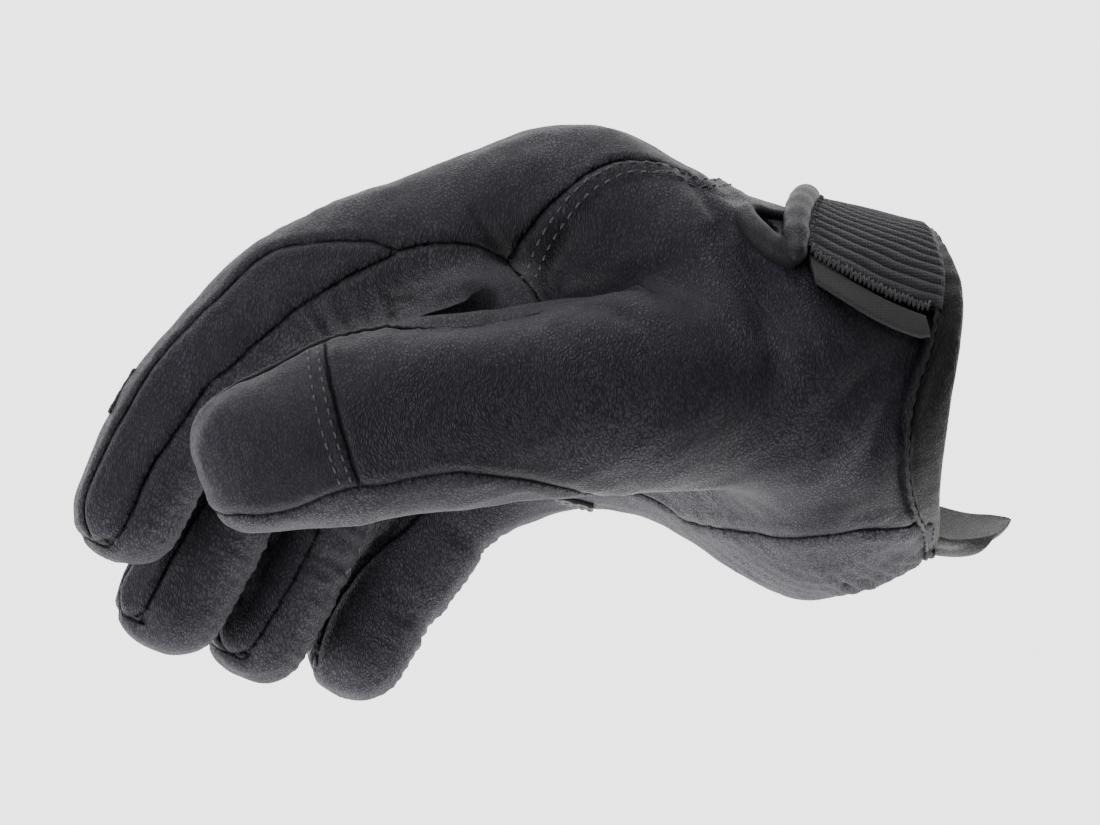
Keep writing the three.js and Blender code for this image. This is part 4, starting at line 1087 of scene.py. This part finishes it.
# pull tab at the palm side
tab = dict(low=183.0, high=232.0, lowTaper=24.0, highTaper=10.0, length=12.8, thick=1.9, rows=44, columns=70)
u, v = np.meshgrid(np.linspace(0, 1, tab["rows"]), np.linspace(0, 1, tab["columns"]), indexing="ij")
tipRound = np.sqrt(np.clip(1 - np.clip((u - 0.7) / 0.3, 0, 1) ** 2, 0.02, 1))
centreTurn = (tab["low"] + tab["high"]) / 2 + (tab["lowTaper"] - tab["highTaper"]) / 2 * u**1.3
halfTurn = ((tab["high"] - tab["low"]) / 2 - (tab["lowTaper"] + tab["highTaper"]) / 2 * u**1.3) * tipRound
turn = centreTurn + (2 * v - 1) * halfTurn
outLift = 1.3 * np.sin(u * np.pi) - 1.4 * u - 1.6 + 0.25 * np.sin(v * 5 + u * 4)
thick = tab["thick"] * (1 - 0.35 * u) * np.sqrt(np.clip(1 - (2 * v - 1) ** 8, 0.06, 1))
thick = thick * np.sqrt(np.clip(1 - u**14, 0.08, 1))
bottom, top = handPoint(0, turn, outLift), handPoint(0, turn, outLift + thick)
for side in (bottom, top):
    side[..., 0] = mix(side[..., 0] - 1.0, tab["length"], u)
outwards(newPiece("pull_tab_suede", *shell(top, bottom), "tab", "pull_tab", "tab_cloth"))

# dotted patch on the palm
patch = dict(front=-0.815, back=-0.735, low=222.0, high=250.0, rows=30, columns=60)
u, v = np.meshgrid(np.linspace(0, 1, patch["rows"]), np.linspace(0, 1, patch["columns"]), indexing="ij")
x, turn = palmLength * mix(patch["back"], patch["front"], u), mix(patch["low"], patch["high"], v)
dots = 0.3 * np.clip(np.sin(u * 5 * np.pi) * np.sin(v * 11 * np.pi), 0, 1)
outwards(newPiece("palm_patch_dots", *shell(handPoint(x, turn, 0.9 + dots), handPoint(x, turn, -0.1)),
                  "patch", "palm_patch", "patch"))
print("trim made")


# stitches
def stitchRow(line, pitch=2.4, share=0.62, width=0.42, lift=0.12, sink=0.16):
    # Stitches along a line: each an arched capsule whose ends dip into the leather.
    line, run = evenly(np.asarray(line, float), 600)
    count = max(int(run / pitch), 1)
    starts = (np.arange(count) + 0.5 - share / 2) / count
    t = np.array([0, 0.12, 0.35, 0.65, 0.88, 1])
    at = np.clip(starts[:, None] + t * share / count, 0, 1) * 599
    i = np.minimum(at.astype(int), 598)
    on, out = laidOn(mix(line[i], line[i + 1], (at - i)[..., None]).reshape(-1, 3))
    shape = (count, len(t), 3)
    on, out = on.reshape(shape), out.reshape(shape)
    on = on + out * mix(-sink, lift, np.sin(np.pi * t))[None, :, None]
    way = unit(on[:, -1] - on[:, 0])[:, None]
    aside = unit(np.cross(way, out))
    up = np.cross(aside, way)
    sides = 6
    angle = np.linspace(0, 2 * np.pi, sides, endpoint=False)
    radius = (width / 2 * np.array([0.35, 0.85, 1, 1, 0.85, 0.35]))[None, :, None, None]
    spoke = up[:, :, None] * np.cos(angle)[:, None] + aside[:, :, None] * np.sin(angle)[:, None]
    ring = on[:, :, None] + radius * spoke
    quads = gridFaces(len(t), sides, True)
    caps = [list(range(sides))[::-1], [(len(t) - 1) * sides + s for s in range(sides)]]
    faces = []
    for k in range(count):
        first = k * len(t) * sides
        faces += (quads + first).tolist() + [[v + first for v in cap] for cap in caps]
    return ring.reshape(-1, 3), faces


def beside(line, offset):
    # The same line moved sideways on the leather.
    on, out = laidOn(line)
    return on + unit(np.cross(out, np.gradient(on, axis=0))) * offset


def overlock(line, out, pitch, wide, radius, lift):
    # Thread that goes to and fro across a line: a triangle wave on a thin bar, arched over the edge.
    line, run = evenly(line, 400)
    count = int(run / pitch)
    t = np.linspace(0, 399, count * 6 + 1)
    i = np.minimum(t.astype(int), 398)
    at = mix(line[i], line[i + 1], (t - i)[:, None])
    up = unit(out[np.minimum((t / 399 * (len(out) - 1)).astype(int), len(out) - 1)])
    side = unit(np.cross(up, np.gradient(at, axis=0)))
    wave = np.abs((np.arange(len(t)) / 6) % 1 * 2 - 1) * 2 - 1
    jitter = 0.12 * ripples(at, 1.7, 51)
    rise = lift + 0.25 * (1 - wave**2) + jitter
    at = at + side * (wave * wide / 2 + jitter)[:, None] + up * rise[:, None]
    return tube(at, radius, up, 6)


def digitLine(name, along, turn, lift=0.0):
    # Points on a digit at places along and round it.
    digit = digits[name]
    behind = digit["bones"][0][0]
    along, turn = np.broadcast_arrays(np.asarray(along, float), np.asarray(turn, float))
    centre, way, side, top = digitFrame(digit, (along + behind) / (1 + behind) * digit["run"])
    wide, thick = readTable(digit["girth"], along)
    angle = np.radians(turn)
    return (centre + side * ((wide * digit["wide"] / 2 + lift) * np.sin(angle))[:, None]
            + top * ((thick * digit["thick"] / 2 + lift) * np.cos(angle))[:, None])


rows = []
turns = np.linspace(-96, 129, 160)
knuckleLine = handPoint(-readTable(knuckleSeam, turns)[0] * palmLength, turns)
for offset in (1.25, 3.4):
    rows.append(stitchRow(beside(knuckleLine, offset)))
capTurns = np.linspace(12, 124, 60)
for offset in (1.4, 3.4):
    around = readTable(capEdge, capTurns)[0] + offset / digits["thumb"]["length"]
    rows.append(stitchRow(digitLine("thumb", around, capTurns), pitch=2.1))
outwards(newPiece("seam_stitches", *together(rows), "thread", None, "leather"))

edges = []
u = np.linspace(0, 1, 80)
x, turn, high = mix(-28.6, -6.5, u), mix(76.6, 77.6, u), 3.1 - 1.1 * u
edges.append(overlock(handPoint(x, turn, high), handPoint(x, turn, 8) - handPoint(x, turn, high), 0.9, 1.9,
                      0.27, 0.1))
t = np.linspace(-74, 76, 120)
rollBack = readTable(rollRows, t)[0] + 2.6
rim = handPoint(rollBack, t, 3.3)
edges.append(overlock(rim, handPoint(rollBack, t, 8) - rim, 0.9, 1.2, 0.22, 0.1))
along = np.linspace(0.735, 0.8, 30)
nub = digitLine("index", along, np.full(30, 22.0))
edges.append(overlock(nub, nub - digitLine("index", along, np.full(30, 22.0), -5.0), 0.9, 0.8, 0.3, -0.05))
outwards(newPiece("edge_overlock", *together(edges), "fuzz", None, "elastic"))

# welt on the thumb's upper edge, sewn through
along = np.linspace(0.6, 0.95, 90)
welt = digitLine("thumb", along, np.full(90, 6.0))
weltOut = digitLine("thumb", along, np.full(90, 6.0), 5.0) - welt
on = laidOn(welt)[0] + unit(weltOut) * (0.15 - 0.6 * ease((0.64 - along) / 0.04)
                                        - 0.6 * ease((along - 0.9) / 0.05))[:, None]
weltRadius = 0.42 * (1 + 0.14 * np.sin(along * digits["thumb"]["length"] * 2 * np.pi / 1.6))
outwards(newPiece("thumb_welt", *tube(on, weltRadius, weltOut, 10), "roll", None, "leather"))
print("stitches made")

# stage and light
floor = dict(low=-0.24, front=-0.1, back=0.9, wide=2.4, bend=0.35)
s = np.linspace(0, 1, 24)
swing = s * np.pi / 2
profileY = np.concatenate([[floor["front"]], floor["back"] - floor["bend"] + np.sin(swing) * floor["bend"],
                           [floor["back"]]])
profileZ = np.concatenate([[floor["low"]], floor["low"] + floor["bend"] - np.cos(swing) * floor["bend"],
                           [1.6]])
sweep = np.stack([np.stack([np.full_like(profileY, side * floor["wide"] - 0.076), profileY, profileZ], -1)
                  for side in (-1, 1)])
stageMesh = bpy.data.meshes.new("paleSweep")
stageMesh.from_pydata(sweep.reshape(-1, 3).tolist(), [], gridFaces(2, len(profileY)).tolist())
stageMesh.polygons.foreach_set("use_smooth", np.full(len(stageMesh.polygons), True))
paper = bpy.data.materials.new("palePaper")
tree = nodeTree(paper)
mottle = place(tree, "ShaderNodeTexNoise", {"Scale": 3.0})
tone = place(tree, "ShaderNodeMix",
             {"Factor": mottle.outputs["Fac"], "A": (0.1, 0.1, 0.1, 1), "B": (0.102, 0.102, 0.102, 1)},
             data_type="RGBA")
shader = place(tree, "ShaderNodeBsdfPrincipled", {"Base Color": tone.outputs["Result"], "Roughness": 0.9,
                                                  "Emission Color": (1, 1, 1, 1), "Emission Strength": 3.1})
out = place(tree, "ShaderNodeOutputMaterial")
tree.links.new(shader.outputs["BSDF"], out.inputs["Surface"])
stageMesh.materials.append(paper)
stage = bpy.data.objects.new("paleSweep", stageMesh)
bpy.context.scene.collection.objects.link(stage)
stage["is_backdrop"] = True

world = bpy.data.worlds.new("studio")
bpy.context.scene.world = world
world.use_nodes = True
world.node_tree.nodes["Background"].inputs["Color"].default_value = (0.93, 0.95, 1, 1)
world.node_tree.nodes["Background"].inputs["Strength"].default_value = 0.04


def softbox(name, at, size, power, aim=(-0.076, 0, 0)):
    data = bpy.data.lights.new(name, "AREA")
    data.shape, data.size, data.size_y, data.energy = "RECTANGLE", size[0], size[1], power
    lamp = bpy.data.objects.new(name, data)
    lamp.location = at
    toward = np.array(aim) - np.array(at)
    yaw = math.atan2(toward[1], toward[0])
    tilt = math.atan2(math.hypot(toward[0], toward[1]), -toward[2])
    lamp.rotation_euler = (tilt, 0, yaw - math.pi / 2)
    bpy.context.scene.collection.objects.link(lamp)


softbox("topBox", (-0.1, -0.05, 0.75), (0.8, 0.6), 5.6)
softbox("leftBox", (-0.7, -0.7, -0.2), (0.5, 0.7), 7)
softbox("frontBox", (0.05, -0.75, 0.6), (0.8, 0.5), 1.6)

low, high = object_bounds()
